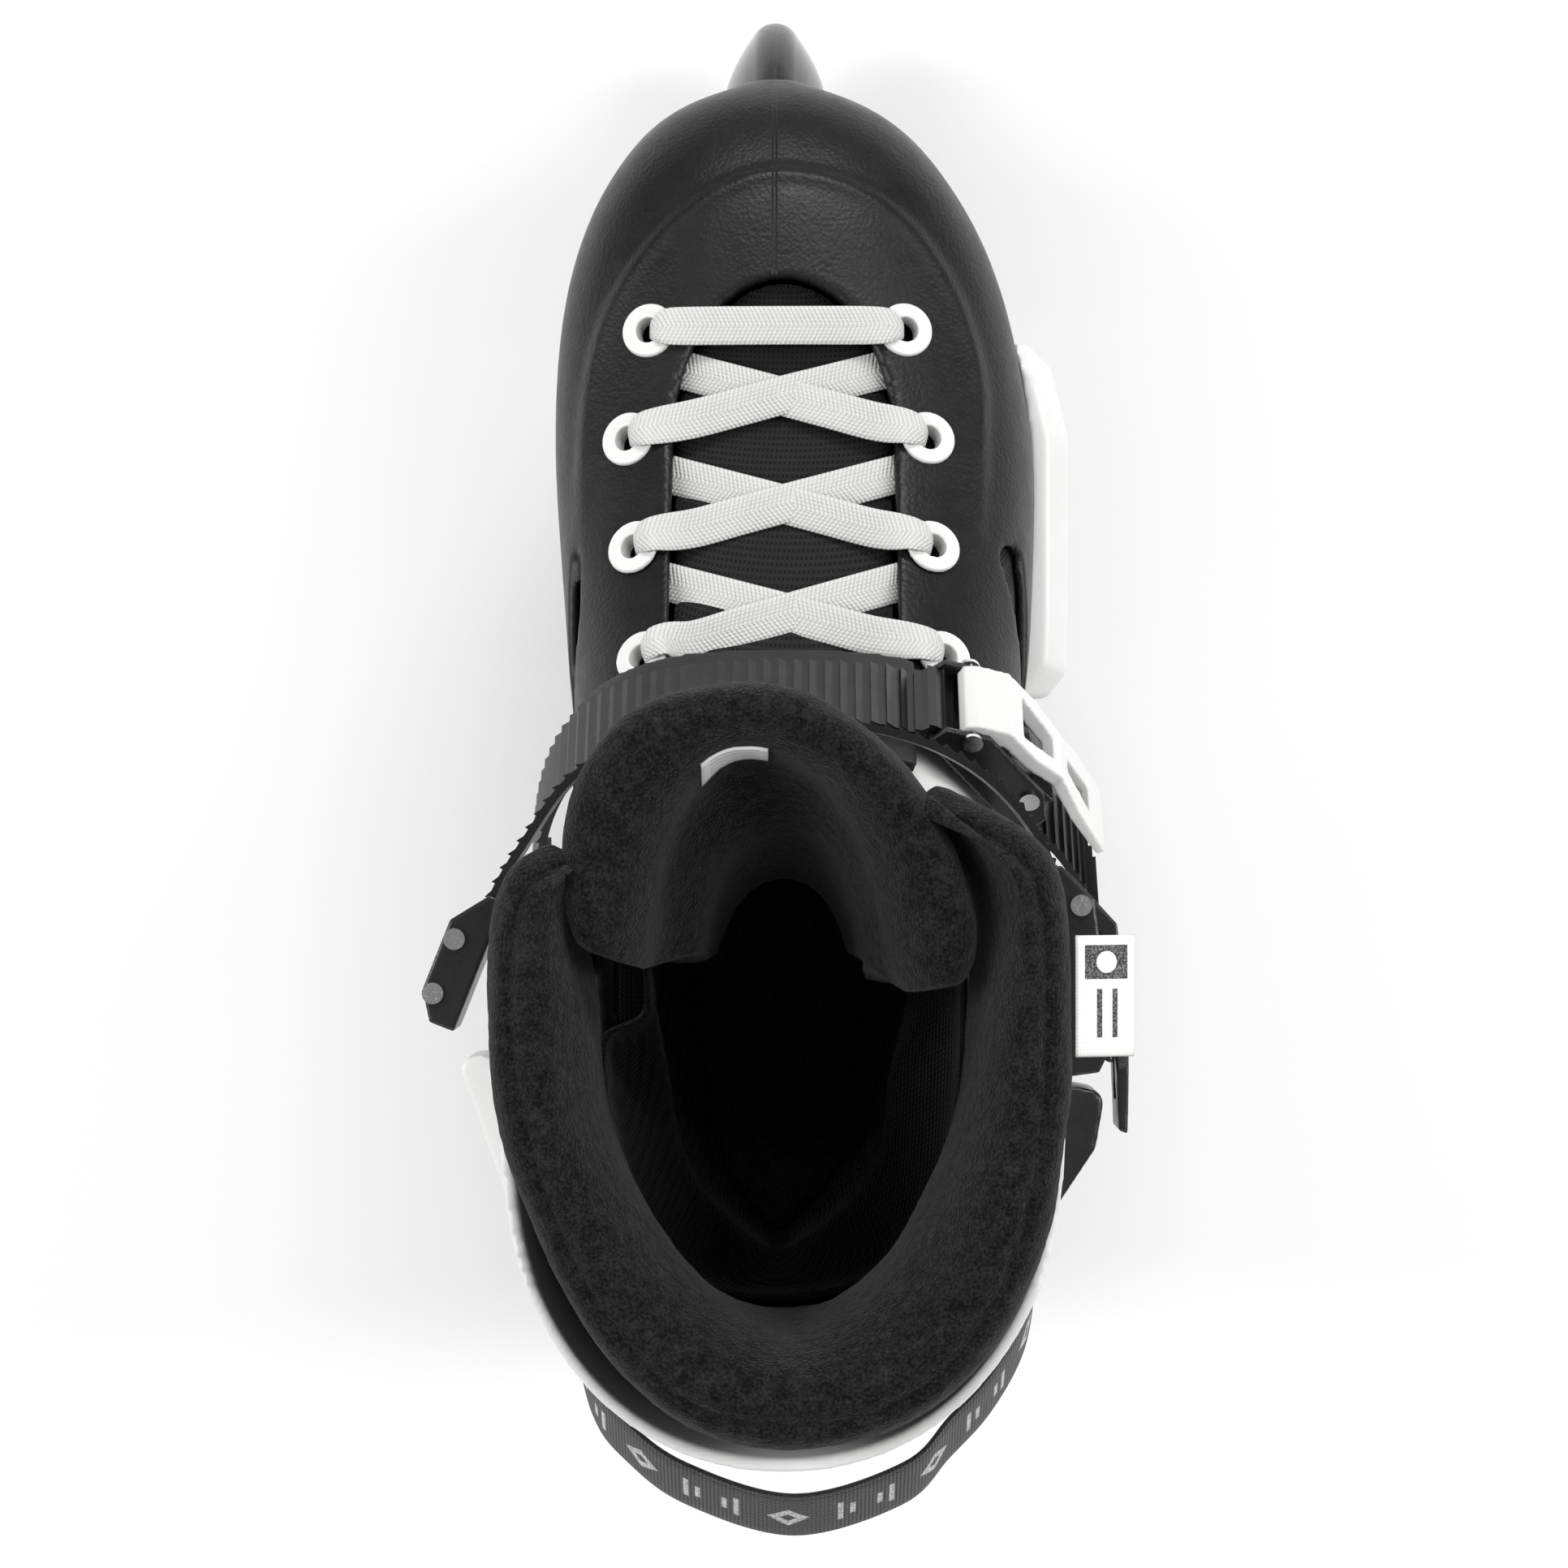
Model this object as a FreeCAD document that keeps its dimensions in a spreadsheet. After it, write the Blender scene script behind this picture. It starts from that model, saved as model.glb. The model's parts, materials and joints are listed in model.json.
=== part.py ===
"""Inline skate, right foot: hard shell boot with hinged cuff on a four-wheel aluminium frame.

Axes: +Y to the toe, +X to the outer (lateral) side, +Z up, wheels standing on Z = 0. Millimetres.
"""
import math
import os

import FreeCAD
import Part
import Sketcher

os.makedirs("parts", exist_ok=True)
doc = FreeCAD.newDocument("inline_skate")
V = FreeCAD.Vector

# ------------------------------------------------------------------ driving sizes
SIZES = {
    # wheels and bearings
    "wheel_dia": 80, "wheel_width": 24, "tyre_tip_radius": 6.2, "axle_pitch": 81, "front_axle_y": 137,
    "hub_radius": 22, "bearing_radius": 11, "bearing_width": 7, "bearing_gap": 10, "axle_radius": 3.97,
    "ball_circle": 7.75, "ball_radius": 1.95, "ball_count": 7,
    # frame
    "frame_gap": 26, "frame_wall": 2.5, "deck_thick": 3, "deck_clear": 3, "front_seat": 92, "rear_seat": 104,
    "front_bolt_y": 112, "bolt_pitch": 195, "bolt_radius": 4, "brake_bore": 3.1,
    # boot shell
    "toe_y": 153.5, "boot_length": 289.5, "boot_width": 112.6, "boot_middle": 2, "shell_wall": 3,
    "sole_thick": 9, "instep_rise": 106, "gap_half": 26, "eyelet_radius": 6.5, "lace_width": 9,
    # cuff, its hinge and the soft collar
    "pivot_y": -45, "pivot_z": 165, "ear_half": 48, "cuff_wall": 3, "cuff_rise": 124, "collar_rise": 156,
    "collar_wall": 20,
    # straps
    "strap_lean": 38, "strap_over": 63.5, "strap_half": 55, "ladder_width": 22, "pad_width": 38,
    "ladder_thick": 1.7, "tooth_rise": 0.8, "tooth_pitch": 3.4, 
    "cuff_strap_z": 244, "buckle_pin": 1.3, "loop_width": 22,
}

sheet = doc.addObject("Spreadsheet::Sheet", "dims")
for row, (alias, number) in enumerate(SIZES.items(), start=1):
    sheet.set("A%d" % row, alias)
    sheet.set("B%d" % row, str(number))
    sheet.setAlias("B%d" % row, alias)
doc.recompute()


class Size:
    """A length that carries its spreadsheet formula beside its number."""

    def __init__(self, value, text):
        self.value, self.text = value, text

    def _with(self, other, sign, swap=False):
        a, b = (as_size(other), self) if swap else (self, as_size(other))
        value = {"+": a.value + b.value, "-": a.value - b.value, "*": a.value * b.value}[sign]
        return Size(value, "(%s %s %s)" % (a.text, sign, b.text))

    def __add__(self, other):
        return self._with(other, "+")

    def __radd__(self, other):
        return self._with(other, "+", True)

    def __sub__(self, other):
        return self._with(other, "-")

    def __rsub__(self, other):
        return self._with(other, "-", True)

    def __mul__(self, other):
        return self._with(other, "*")

    def __rmul__(self, other):
        return self._with(other, "*", True)

    def __neg__(self):
        return self._with(-1, "*")

    def __float__(self):
        return float(self.value)


def as_size(number):
    return number if isinstance(number, Size) else Size(float(number), "%.6g" % number)


class Dims:
    """dims.wheel_dia and so on, read from the spreadsheet."""

    def __getattr__(self, name):
        return Size(float(sheet.get(name)), "dims." + name)


dims = Dims()


def num(name):
    return float(sheet.get(name))


# ------------------------------------------------------------------ building helpers
def new_body(label):
    body = doc.addObject("PartDesign::Body", label)
    body.Label = label
    return body


def origin_plane(body, role):
    return [f for f in body.Origin.OriginFeatures if f.Role == role][0]


def new_sketch(body, role, offset=0):
    sketch = body.newObject("Sketcher::SketchObject", "sketch")
    sketch.AttachmentSupport = [(origin_plane(body, role), "")]
    sketch.MapMode = "FlatFace"
    offset = as_size(offset)
    sketch.AttachmentOffset = FreeCAD.Placement(V(0, 0, offset.value), FreeCAD.Rotation())
    if offset.text.strip("(") and "dims" in offset.text:
        sketch.setExpression("AttachmentOffset.Base.z", offset.text)
    return sketch


def bind(sketch, kind, where, size):
    """One dimension constraint driven by the formula of its size."""
    size = as_size(size)
    index = sketch.addConstraint(Sketcher.Constraint(kind, *where, size.value))
    if "dims" in size.text:
        sketch.setExpression("Constraints[%d]" % index, size.text)


def arc_through(start, end, radius):
    """Arc from start to end that bulges to the right of the travel direction when radius > 0."""
    chord = end - start
    middle = (start + end) * 0.5
    side = V(chord.y, -chord.x, 0)
    side.normalize()
    if radius < 0:
        side = side * -1
    rise = abs(radius) - math.sqrt(max(radius ** 2 - (chord.Length / 2) ** 2, 0))
    return Part.Arc(start, middle + side * rise, end)


def add_outline(sketch, corners):
    """Closed outline. A corner is (x, y) or (x, y, r): r makes the next edge an arc of that radius."""
    at = [V(float(c[0]), float(c[1]), 0) for c in corners]
    first = sketch.GeometryCount
    ends = []
    for i, corner in enumerate(corners):
        a, b = at[i], at[(i + 1) % len(at)]
        if len(corner) == 3:
            sketch.addGeometry(arc_through(a, b, float(corner[2])), False)
            begins = sketch.getPoint(first + i, 1)
            ends.append((1, 2) if begins.distanceToPoint(a) < 1e-6 else (2, 1))
        else:
            sketch.addGeometry(Part.LineSegment(a, b), False)
            ends.append((1, 2))
    for i in range(len(corners)):
        j = (i + 1) % len(corners)
        sketch.addConstraint(Sketcher.Constraint("Coincident", first + i, ends[i][1], first + j, ends[j][0]))
    for i, corner in enumerate(corners):
        bind(sketch, "DistanceX", (-1, 1, first + i, ends[i][0]), corner[0])
        bind(sketch, "DistanceY", (-1, 1, first + i, ends[i][0]), corner[1])
        if len(corner) == 3:
            radius = as_size(corner[2])
            bind(sketch, "Radius", (first + i,), radius if radius.value > 0 else -radius)


def add_circle(sketch, x, y, radius):
    index = sketch.addGeometry(Part.Circle(V(float(x), float(y), 0), V(0, 0, 1), float(radius)), False)
    bind(sketch, "DistanceX", (-1, 1, index, 3), x)
    bind(sketch, "DistanceY", (-1, 1, index, 3), y)
    bind(sketch, "Radius", (index,), radius)


def extrude(body, kind, sketch, length):
    """kind is Pad or Pocket."""
    feature = body.newObject("PartDesign::" + kind, kind.lower())
    feature.Profile = sketch
    length = as_size(length)
    feature.Length = length.value
    if "dims" in length.text:
        feature.setExpression("Length", length.text)
    feature.Midplane = True
    doc.recompute()
    body.Tip = feature
    return feature


def revolve(body, sketch):
    feature = body.newObject("PartDesign::Revolution", "revolution")
    feature.Profile = sketch
    feature.ReferenceAxis = (sketch, ["H_Axis"])
    feature.Angle = 360
    doc.recompute()
    body.Tip = feature
    return feature


def round_edges(body, radius, wanted):
    """Fillet the edges of the body's tip that pass the test."""
    doc.recompute()
    before = body.Tip
    names = ["Edge%d" % (i + 1) for i, e in enumerate(before.Shape.Edges) if wanted(e)]
    fillet = body.newObject("PartDesign::Fillet", "fillet")
    fillet.Base = (before, names)
    fillet.Radius = radius
    doc.recompute()
    body.Tip = fillet


def runs_along(direction):
    def test(edge):
        if len(edge.Vertexes) != 2:
            return False
        line = edge.Vertexes[1].Point - edge.Vertexes[0].Point
        return line.Length > 0.5 and abs(abs(line.normalize().dot(direction)) - 1) < 1e-4
    return test


def place(thing, base, rotation=None):
    """Put a body in the skate; formulas in the base position stay linked to the sheet."""
    base = [as_size(b) for b in base]
    thing.Placement = FreeCAD.Placement(V(*[b.value for b in base]), rotation or FreeCAD.Rotation())
    for axis, size in zip("xyz", base):
        if "dims" in size.text:
            thing.setExpression("Placement.Base." + axis, size.text)
    return thing


def feature(label, shape, placement=None):
    """A plain shape, or several solids of one kind, under one name."""
    if isinstance(shape, (list, tuple)):
        shape = Part.makeCompound([s for one in shape for s in one.Solids])
    thing = doc.addObject("Part::Feature", label)
    thing.Label = label
    thing.Shape = shape
    thing.Placement = placement or FreeCAD.Placement()
    return thing


def rod(radius, start, end):
    line = end - start
    return Part.makeCylinder(radius, line.Length, start, line)


def ring(outer, inner, start, end):
    return rod(outer, start, end).cut(rod(inner, start, end))


def hex_prism(across, start, end):
    line = end - start
    corners = [V(across / math.sqrt(3) * math.cos(math.radians(60 * k)),
                 across / math.sqrt(3) * math.sin(math.radians(60 * k)), 0) for k in range(7)]
    prism = Part.Face(Part.makePolygon(corners)).extrude(V(0, 0, line.Length))
    prism.Placement = FreeCAD.Placement(start, FreeCAD.Rotation(V(0, 0, 1), line))
    return prism


def flat_face(points, to_space):
    """Face with straight edges, its plane points put in space by to_space."""
    return Part.Face(Part.makePolygon([to_space(*p) for p in list(points) + [points[0]]]))


def smooth_edge(points):
    curve = Part.BSplineCurve()
    curve.interpolate(points)
    return curve.toShape()


def smooth_loop(points):
    curve = Part.BSplineCurve()
    curve.interpolate(Points=points, PeriodicFlag=True)
    return Part.Wire(curve.toShape())


def squircle(angle, power):
    """Point of a rounded square of half size 1 in the direction of angle."""
    c, s = math.cos(angle), math.sin(angle)
    return (math.copysign(abs(c) ** (2 / power), c), math.copysign(abs(s) ** (2 / power), s))


def largest(shape):
    return max(shape.Solids, key=lambda s: s.Volume)


# ------------------------------------------------------------------ wheels and bearings
wheel_radius = dims.wheel_dia * 0.5
axle_y = [dims.front_axle_y - k * dims.axle_pitch for k in range(4)]
half = dims.wheel_width * 0.5
hub_half = half - 2.5
seat = dims.bearing_gap * 0.5
hub = dims.hub_radius


def tyre(k):
    body = new_body("tyre_%d" % (k + 1))
    sketch = new_sketch(body, "XY_Plane")
    shoulder = wheel_radius - 16
    tip = wheel_radius - 3.2
    add_outline(sketch, [
        (-hub_half, hub), (-4, hub), (-4, hub + 2), (4, hub + 2), (4, hub), (hub_half, hub),
        (half, shoulder, 42), (5.4, tip, dims.tyre_tip_radius), (-5.4, tip, 42), (-half, shoulder)])
    revolve(body, sketch)
    return place(body, (0, axle_y[k], wheel_radius))


def hub_core(k):
    body = new_body("hub_%d" % (k + 1))
    sketch = new_sketch(body, "XY_Plane")
    bore, lip = dims.bearing_radius, dims.bearing_radius - 1.4
    nose = bore + 2.6
    rim = hub - 2.5
    right = [(seat, bore), (half, bore), (half, nose), (6, nose), (6, rim), (hub_half, rim), (hub_half, hub),
             (4, hub), (4, hub + 2)]
    left = [(-x, y) for x, y in reversed(right)]
    add_outline(sketch, [(-seat, lip), (seat, lip)] + right + left)
    revolve(body, sketch)
    window = new_sketch(body, "YZ_Plane")
    add_circle(window, (nose + rim) * 0.5, 0, 2.2)
    pocket = extrude(body, "Pocket", window, dims.wheel_width * 2)
    spokes = body.newObject("PartDesign::PolarPattern", "spokes")
    spokes.Originals = [pocket]
    spokes.Axis = (origin_axis(body, "X_Axis"), [""])
    spokes.Angle = 360
    spokes.Occurrences = 8
    body.Tip = spokes
    return place(body, (0, axle_y[k], wheel_radius))


def origin_axis(body, role):
    return [f for f in body.Origin.OriginFeatures if f.Role == role][0]


def wheel_place(k):
    return FreeCAD.Placement(V(0, axle_y[k].value, wheel_radius.value), FreeCAD.Rotation())


def bearing_parts():
    """Outer rings, shields, balls and inner rings of one wheel, centred on the origin."""
    outer, inner = num("bearing_radius"), num("axle_radius") + 0.03
    near = num("bearing_gap") / 2
    far = near + num("bearing_width")
    middle = (near + far) / 2
    circle, ball = num("ball_circle"), num("ball_radius")
    groups = {"outer": [], "shield": [], "ball": [], "inner": []}
    for side in (-1, 1):
        a, b = V(side * near, 0, 0), V(side * far, 0, 0)
        track = Part.makeTorus(circle, ball + 0.05, V(side * middle, 0, 0), V(1, 0, 0))
        groups["outer"].append(ring(outer, outer - 1.5, a, b).cut(track))
        groups["inner"].append(ring(inner + 2, inner, a, b).cut(track))
        plate = V(side * (far - 0.5), 0, 0)
        groups["shield"].append(ring(outer - 1.52, inner + 2.2, plate, plate + V(side * 0.3, 0, 0)))
        for n in range(int(num("ball_count"))):
            turn = 2 * math.pi * n / num("ball_count")
            centre = V(side * middle, circle * math.cos(turn), circle * math.sin(turn))
            groups["ball"].append(Part.makeSphere(ball, centre))
    return groups


bearing = bearing_parts()
for k in range(4):
    tyre(k)
    hub_core(k)
    feature("bearing_outer_%d" % (k + 1), bearing["outer"], wheel_place(k))
    feature("bearing_shield_%d" % (k + 1), bearing["shield"], wheel_place(k))
    feature("bearing_ball_%d" % (k + 1), bearing["ball"], wheel_place(k))


def at_each_axle(shapes):
    moved = []
    for k in range(4):
        for shape in shapes:
            copy = shape.copy()
            copy.Placement = wheel_place(k).multiply(copy.Placement)
            moved.append(copy)
    return moved


feature("bearing_inner", at_each_axle(bearing["inner"]))
shaft = num("axle_radius")
bearing_near = num("bearing_gap") / 2
feature("bearing_spacer", at_each_axle([ring(5, shaft + 0.03, V(-bearing_near, 0, 0), V(bearing_near, 0, 0))]))

# ------------------------------------------------------------------ axles
frame_out = num("frame_gap") / 2 + num("frame_wall")


def axle():
    """Axle with its head on the outer side and a threaded end on the inner side."""
    body = rod(shaft, V(-frame_out + 0.2, 0, 0), V(frame_out, 0, 0))
    head = rod(7, V(frame_out, 0, 0), V(frame_out + 3, 0, 0))
    head = head.makeFillet(0.8, [e for e in head.Edges if e.BoundBox.XMin > frame_out + 2.9])
    socket = hex_prism(4, V(frame_out + 0.4, 0, 0), V(frame_out + 4, 0, 0))
    thread = rod(2.95, V(-frame_out, 0, 0), V(-frame_out + 13, 0, 0))
    return body.fuse(head).cut(socket).cut(thread).removeSplitter()


def axle_screw():
    head = rod(7, V(-frame_out - 3, 0, 0), V(-frame_out, 0, 0))
    head = head.makeFillet(0.8, [e for e in head.Edges if e.BoundBox.XMax < -frame_out - 2.9])
    shank = rod(2.9, V(-frame_out, 0, 0), V(-frame_out + 11, 0, 0))
    socket = hex_prism(4, V(-frame_out - 4, 0, 0), V(-frame_out - 0.4, 0, 0))
    return head.fuse(shank).cut(socket).removeSplitter()


feature("axle", at_each_axle([axle()]))
feature("axle_screw", at_each_axle([axle_screw()]))

# ------------------------------------------------------------------ frame
deck_under = dims.wheel_dia + dims.deck_clear
deck_top = deck_under + dims.deck_thick
rear_bolt_y = dims.front_bolt_y - dims.bolt_pitch


def skate_frame():
    body = new_body("frame")
    side = new_sketch(body, "YZ_Plane")
    hub_z = wheel_radius
    low, arch = hub_z - 11, hub_z + 8
    outline = [(dims.front_bolt_y + 18, dims.front_seat), (dims.front_bolt_y + 22, deck_top),
               (axle_y[0] + 14, hub_z + 6), (axle_y[0] + 10, low)]
    for k in range(4):
        if k:
            outline += [(axle_y[k] + 0.5 * dims.axle_pitch, arch), (axle_y[k] + 10, low)]
        outline += [(axle_y[k] - 10, low)]
    outline += [(axle_y[3] - 14, hub_z + 6), (axle_y[3] - 30, deck_under - 12), (axle_y[3] - 30, deck_top),
                (rear_bolt_y - 25, dims.rear_seat), (rear_bolt_y + 22, dims.rear_seat),
                (rear_bolt_y + 30, deck_top), (dims.front_bolt_y - 24, deck_top),
                (dims.front_bolt_y - 18, dims.front_seat)]
    add_outline(side, outline)
    extrude(body, "Pad", side, dims.frame_gap + 2 * dims.frame_wall)
    round_edges(body, 4, lambda e: runs_along(V(1, 0, 0))(e) and e.BoundBox.ZMax < deck_under.value - 2)

    channel = new_sketch(body, "YZ_Plane")
    add_outline(channel, [(axle_y[0] + 60, -10), (axle_y[0] + 60, deck_under), (axle_y[3] - 60, deck_under),
                          (axle_y[3] - 60, -10)])
    extrude(body, "Pocket", channel, dims.frame_gap)

    windows = new_sketch(body, "YZ_Plane")
    for k in range(3):
        middle = axle_y[k] - 0.5 * dims.axle_pitch
        add_outline(windows, [(middle - 9, hub_z + 19), (middle + 9, hub_z + 19), (middle + 21, deck_under - 6),
                              (middle - 21, deck_under - 6)])
    add_outline(windows, [(rear_bolt_y - 15, deck_top + 3), (rear_bolt_y - 10, dims.rear_seat - 4),
                          (rear_bolt_y - 7, dims.rear_seat - 4), (rear_bolt_y - 7, deck_top + 3)])
    add_outline(windows, [(rear_bolt_y + 7, deck_top + 3), (rear_bolt_y + 7, dims.rear_seat - 4),
                          (rear_bolt_y + 12, dims.rear_seat - 4), (rear_bolt_y + 18, deck_top + 3)])
    extrude(body, "Pocket", windows, 100)

    for sign in (-1, 1):
        bosses = new_sketch(body, "YZ_Plane", (dims.frame_gap * 0.5 - 0.5) * sign)
        for y in axle_y:
            add_circle(bosses, y, hub_z, 5.8)
        extrude(body, "Pad", bosses, 1)

    holes = new_sketch(body, "YZ_Plane")
    for y in axle_y:
        add_circle(holes, y, hub_z, dims.axle_radius + 0.03)
    add_circle(holes, axle_y[3] - 24, deck_under - 4, dims.brake_bore)
    extrude(body, "Pocket", holes, 100)

    bolts = new_sketch(body, "XY_Plane")
    for y in (dims.front_bolt_y, rear_bolt_y):
        add_circle(bolts, 0, y, dims.bolt_radius + 0.1)
    extrude(body, "Pocket", bolts, 500)
    return body


skate_frame()


def mount_bolts():
    """Two bolts whose wide flanged heads sit in the sole, under the footbed."""
    bolts = []
    for y, z in ((num("front_bolt_y"), num("front_seat")), (rear_bolt_y.value, num("rear_seat"))):
        floor = z + num("sole_thick") - 5.5
        low = deck_under.value + 0.5
        shank = rod(num("bolt_radius"), V(0, y, low), V(0, y, floor + 1.5))
        flange = rod(12, V(0, y, floor), V(0, y, floor + 1.5))
        head = rod(7, V(0, y, floor + 1.5), V(0, y, floor + 5))
        socket = hex_prism(5, V(0, y, floor + 2.6), V(0, y, floor + 6))
        bolts.append(shank.fuse([flange, head]).cut(socket).removeSplitter())
    return bolts


feature("frame_bolt", mount_bolts())

# ------------------------------------------------------------------ boot shell
# Cross sections from heel to toe: place along the boot (0 heel, 1 toe), inner and outer side as parts
# of the boot width, bottom above the front seat, top as a part of the instep rise.
SECTIONS = [
    (0.000, -0.06, 0.07, 20.0, 0.98), (0.018, -0.15, 0.17, 15.0, 1.05), (0.055, -0.25, 0.28, 13.0, 1.08),
    (0.125, -0.325, 0.35, 12.0, 1.09), (0.21, -0.36, 0.385, 12.0, 1.09), (0.315, -0.372, 0.41, 12.0, 1.07),
    (0.375, -0.378, 0.43, 11.5, 1.04), (0.44, -0.405, 0.485, 8.5, 0.985), (0.512, -0.426, 0.523, 3.0, 0.885),
    (0.59, -0.443, 0.537, 0.5, 0.772), (0.67, -0.458, 0.542, 0.0, 0.668), (0.75, -0.458, 0.519, 0.0, 0.592),
    (0.83, -0.433, 0.471, 0.0, 0.543), (0.883, -0.391, 0.414, 0.0, 0.515), (0.937, -0.313, 0.323, 1.0, 0.462),
    (0.964, -0.249, 0.252, 3.0, 0.413), (0.986, -0.15, 0.15, 8.0, 0.345), (1.0, -0.05, 0.05, 16.0, 0.27),
]
heel_y = num("toe_y") - num("boot_length")


def section_wire(along, inner_x, outer_x, low, high, inset=0.0, floor=0.0):
    """Rounded section: boxy under the foot, rounder over the toes and upright at the ankle."""
    y = heel_y + inset * 1.1 + along * (num("boot_length") - inset * 2.2)
    left, right = inner_x * num("boot_width"), outer_x * num("boot_width")
    bottom = num("front_seat") + low * (num("rear_seat") - num("front_seat")) / 12
    top = num("front_seat") + high * num("instep_rise")
    middle_x, half_x = (left + right) / 2, max((right - left) / 2 - inset, 1.5)
    bottom, top = bottom + floor, top - inset
    middle_z, half_z = (bottom + top) / 2, (top - bottom) / 2
    upper = 2.2 + max(0.0, 0.62 - along) * 2.2
    points = []
    for k in range(20):
        angle = 2 * math.pi * (k + 0.5) / 20 + math.pi
        x, z = squircle(angle, upper if math.sin(angle) > 0 else 3.0)
        points.append(V(middle_x + half_x * x, y, middle_z + half_z * z))
    return smooth_loop(points)


def boot_form(inset=0.0, floor=0.0):
    return Part.makeLoft([section_wire(*s, inset, floor) for s in SECTIONS], True, False)


def side_cutter(points, left=-120, right=120):
    return flat_face(points, lambda y, z: V(left, y, z)).extrude(V(right - left, 0, 0))


middle = num("boot_middle")
pivot = V(0, num("pivot_y"), num("pivot_z"))
front_seat, rear_seat, wall = num("front_seat"), num("rear_seat"), num("shell_wall")
rim = pivot.z + 21
boot_outer = boot_form()
boot_inner = boot_form(wall, num("sole_thick"))


def top_opening(rim_z):
    """Everything above the ankle rim, from the instep to behind the heel."""
    return side_cutter([(pivot.y + 32, 300), (pivot.y + 31, rim_z + 9), (pivot.y + 20, rim_z + 2),
                        (pivot.y, rim_z), (pivot.y - 35, rim_z + 2), (pivot.y - 70, rim_z + 6),
                        (heel_y - 20, rim_z + 8), (heel_y - 20, 300)])


def tongue_slot(half_width, front_y, low):
    """Slot over the instep with a rounded front."""
    straight_y = front_y - 39
    nose = Part.Wire([Part.Ellipse(V(middle, front_y, 0), V(middle + half_width, straight_y, 0),
                                   V(middle, straight_y, 0)).toShape()])
    nose = Part.Face(nose).extrude(V(0, 0, 200))
    back = Part.makeBox(2 * half_width, straight_y - pivot.y, 200, V(middle - half_width, pivot.y, 0))
    slot = nose.fuse(back)
    slot.translate(V(0, 0, low))
    return slot


slot_front = heel_y + 0.829 * num("boot_length")
frame_half = num("frame_gap") / 2 + num("frame_wall")
seat_spans = [(num("front_bolt_y") - 18, num("front_bolt_y") + 18, front_seat),
              (rear_bolt_y.value - 25, rear_bolt_y.value + 22, rear_seat)]


def seat_block(back, front, low, high, margin):
    size = V(2 * (frame_half + margin), front - back + 2 * margin, high - low)
    return Part.makeBox(size.x, size.y, size.z, V(-frame_half - margin, back - margin, low))


shell_shape = boot_outer
for back, front, z in seat_spans:
    shell_shape = shell_shape.fuse(seat_block(back, front, z, z + 6, -0.5))
shell_shape = shell_shape.cut(boot_inner)
for back, front, z in seat_spans:
    shell_shape = shell_shape.cut(seat_block(back, front, z - 20, z, 1.5))
shell_shape = shell_shape.cut(top_opening(rim)).cut(tongue_slot(num("gap_half"), slot_front, front_seat + 36))
ears = [(1, middle + num("ear_half")), (-1, middle - num("ear_half"))]
for side, face_x in ears:
    boss = rod(13, V(face_x - side * 7, pivot.y, pivot.z), V(face_x, pivot.y, pivot.z))
    shell_shape = shell_shape.fuse(boss.cut(boot_inner))
    shell_shape = shell_shape.cut(rod(4.1, V(0, pivot.y, pivot.z), V(side * 80, pivot.y, pivot.z)))
    nut_seat = V(face_x - side * (wall + 4.2), pivot.y, pivot.z)
    shell_shape = shell_shape.cut(rod(7.7, nut_seat - V(side * 6, 0, 0), nut_seat))
    slot_low = pivot.y + (32 if side < 0 else 23)
    vent = Part.makeBox(30, pivot.y + 86 - slot_low, 8, V(-15, slot_low, front_seat + 55))
    vent.translate(V(middle + side * 62, 0, 0))
    vent = vent.makeFillet(3.5, [e for e in vent.Edges if runs_along(V(1, 0, 0))(e)])
    shell_shape = shell_shape.cut(vent)
for y, z in ((num("front_bolt_y"), front_seat), (rear_bolt_y.value, rear_seat)):
    floor = z + num("sole_thick") - 5.5
    shell_shape = shell_shape.cut(rod(num("bolt_radius") + 0.2, V(0, y, z - 5), V(0, y, z + 20)))
    shell_shape = shell_shape.cut(rod(12.3, V(0, y, floor), V(0, y, z + 20)))


slices = {}


def top_of_boot(x, y):
    """Height of the boot form above (x, y), read from a cross section at y."""
    key = round(y, 2)
    if key not in slices:
        slices[key] = boot_outer.slice(V(0, 1, 0), y)[0].discretize(400)
    heights = []
    run = slices[key]
    for a, b in zip(run, run[1:]):
        if (a.x - x) * (b.x - x) <= 0 and a.x != b.x:
            heights.append(a.z + (b.z - a.z) * (x - a.x) / (b.x - a.x))
    return max(heights)


def surface_point(x, y):
    """Highest point of the boot form above (x, y) and the outward normal there."""
    slope_x = (top_of_boot(x + 1, y) - top_of_boot(x - 1, y)) / 2
    slope_y = (top_of_boot(x, y + 1) - top_of_boot(x, y - 1)) / 2
    return V(x, y, top_of_boot(x, y)), V(-slope_x, -slope_y, 1).normalize()


# Eyelet rows: four pairs spread from the front of the slot towards the ankle.
eyelet_rows = []
for k, (left_x, right_x) in enumerate([(31, 28.2), (35.7, 33.3), (34.1, 34.2), (31.8, 36.4)]):
    y = slot_front - 12.6 - k * 25.6
    eyelet_rows.append((surface_point(middle - left_x, y), surface_point(middle + right_x, y)))
eyelets = []
for row in eyelet_rows:
    for point, normal in row:
        radius = num("eyelet_radius")
        deep = point - normal * (wall + 2.5)
        shell_shape = shell_shape.cut(rod(radius * 0.6 + 0.15, deep, point + normal * 3))
        flange = rod(radius, point + normal * 0.35, point + normal * 1.75)
        flange = flange.makeFillet(0.8, [flange.Edges[0]])
        barrel = rod(radius * 0.6, point - normal * (wall + 0.4), point + normal)
        eyelets.append(flange.fuse(barrel).cut(rod(radius * 0.46, deep, point + normal * 3)).removeSplitter())
feature("eyelet", eyelets)

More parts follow.
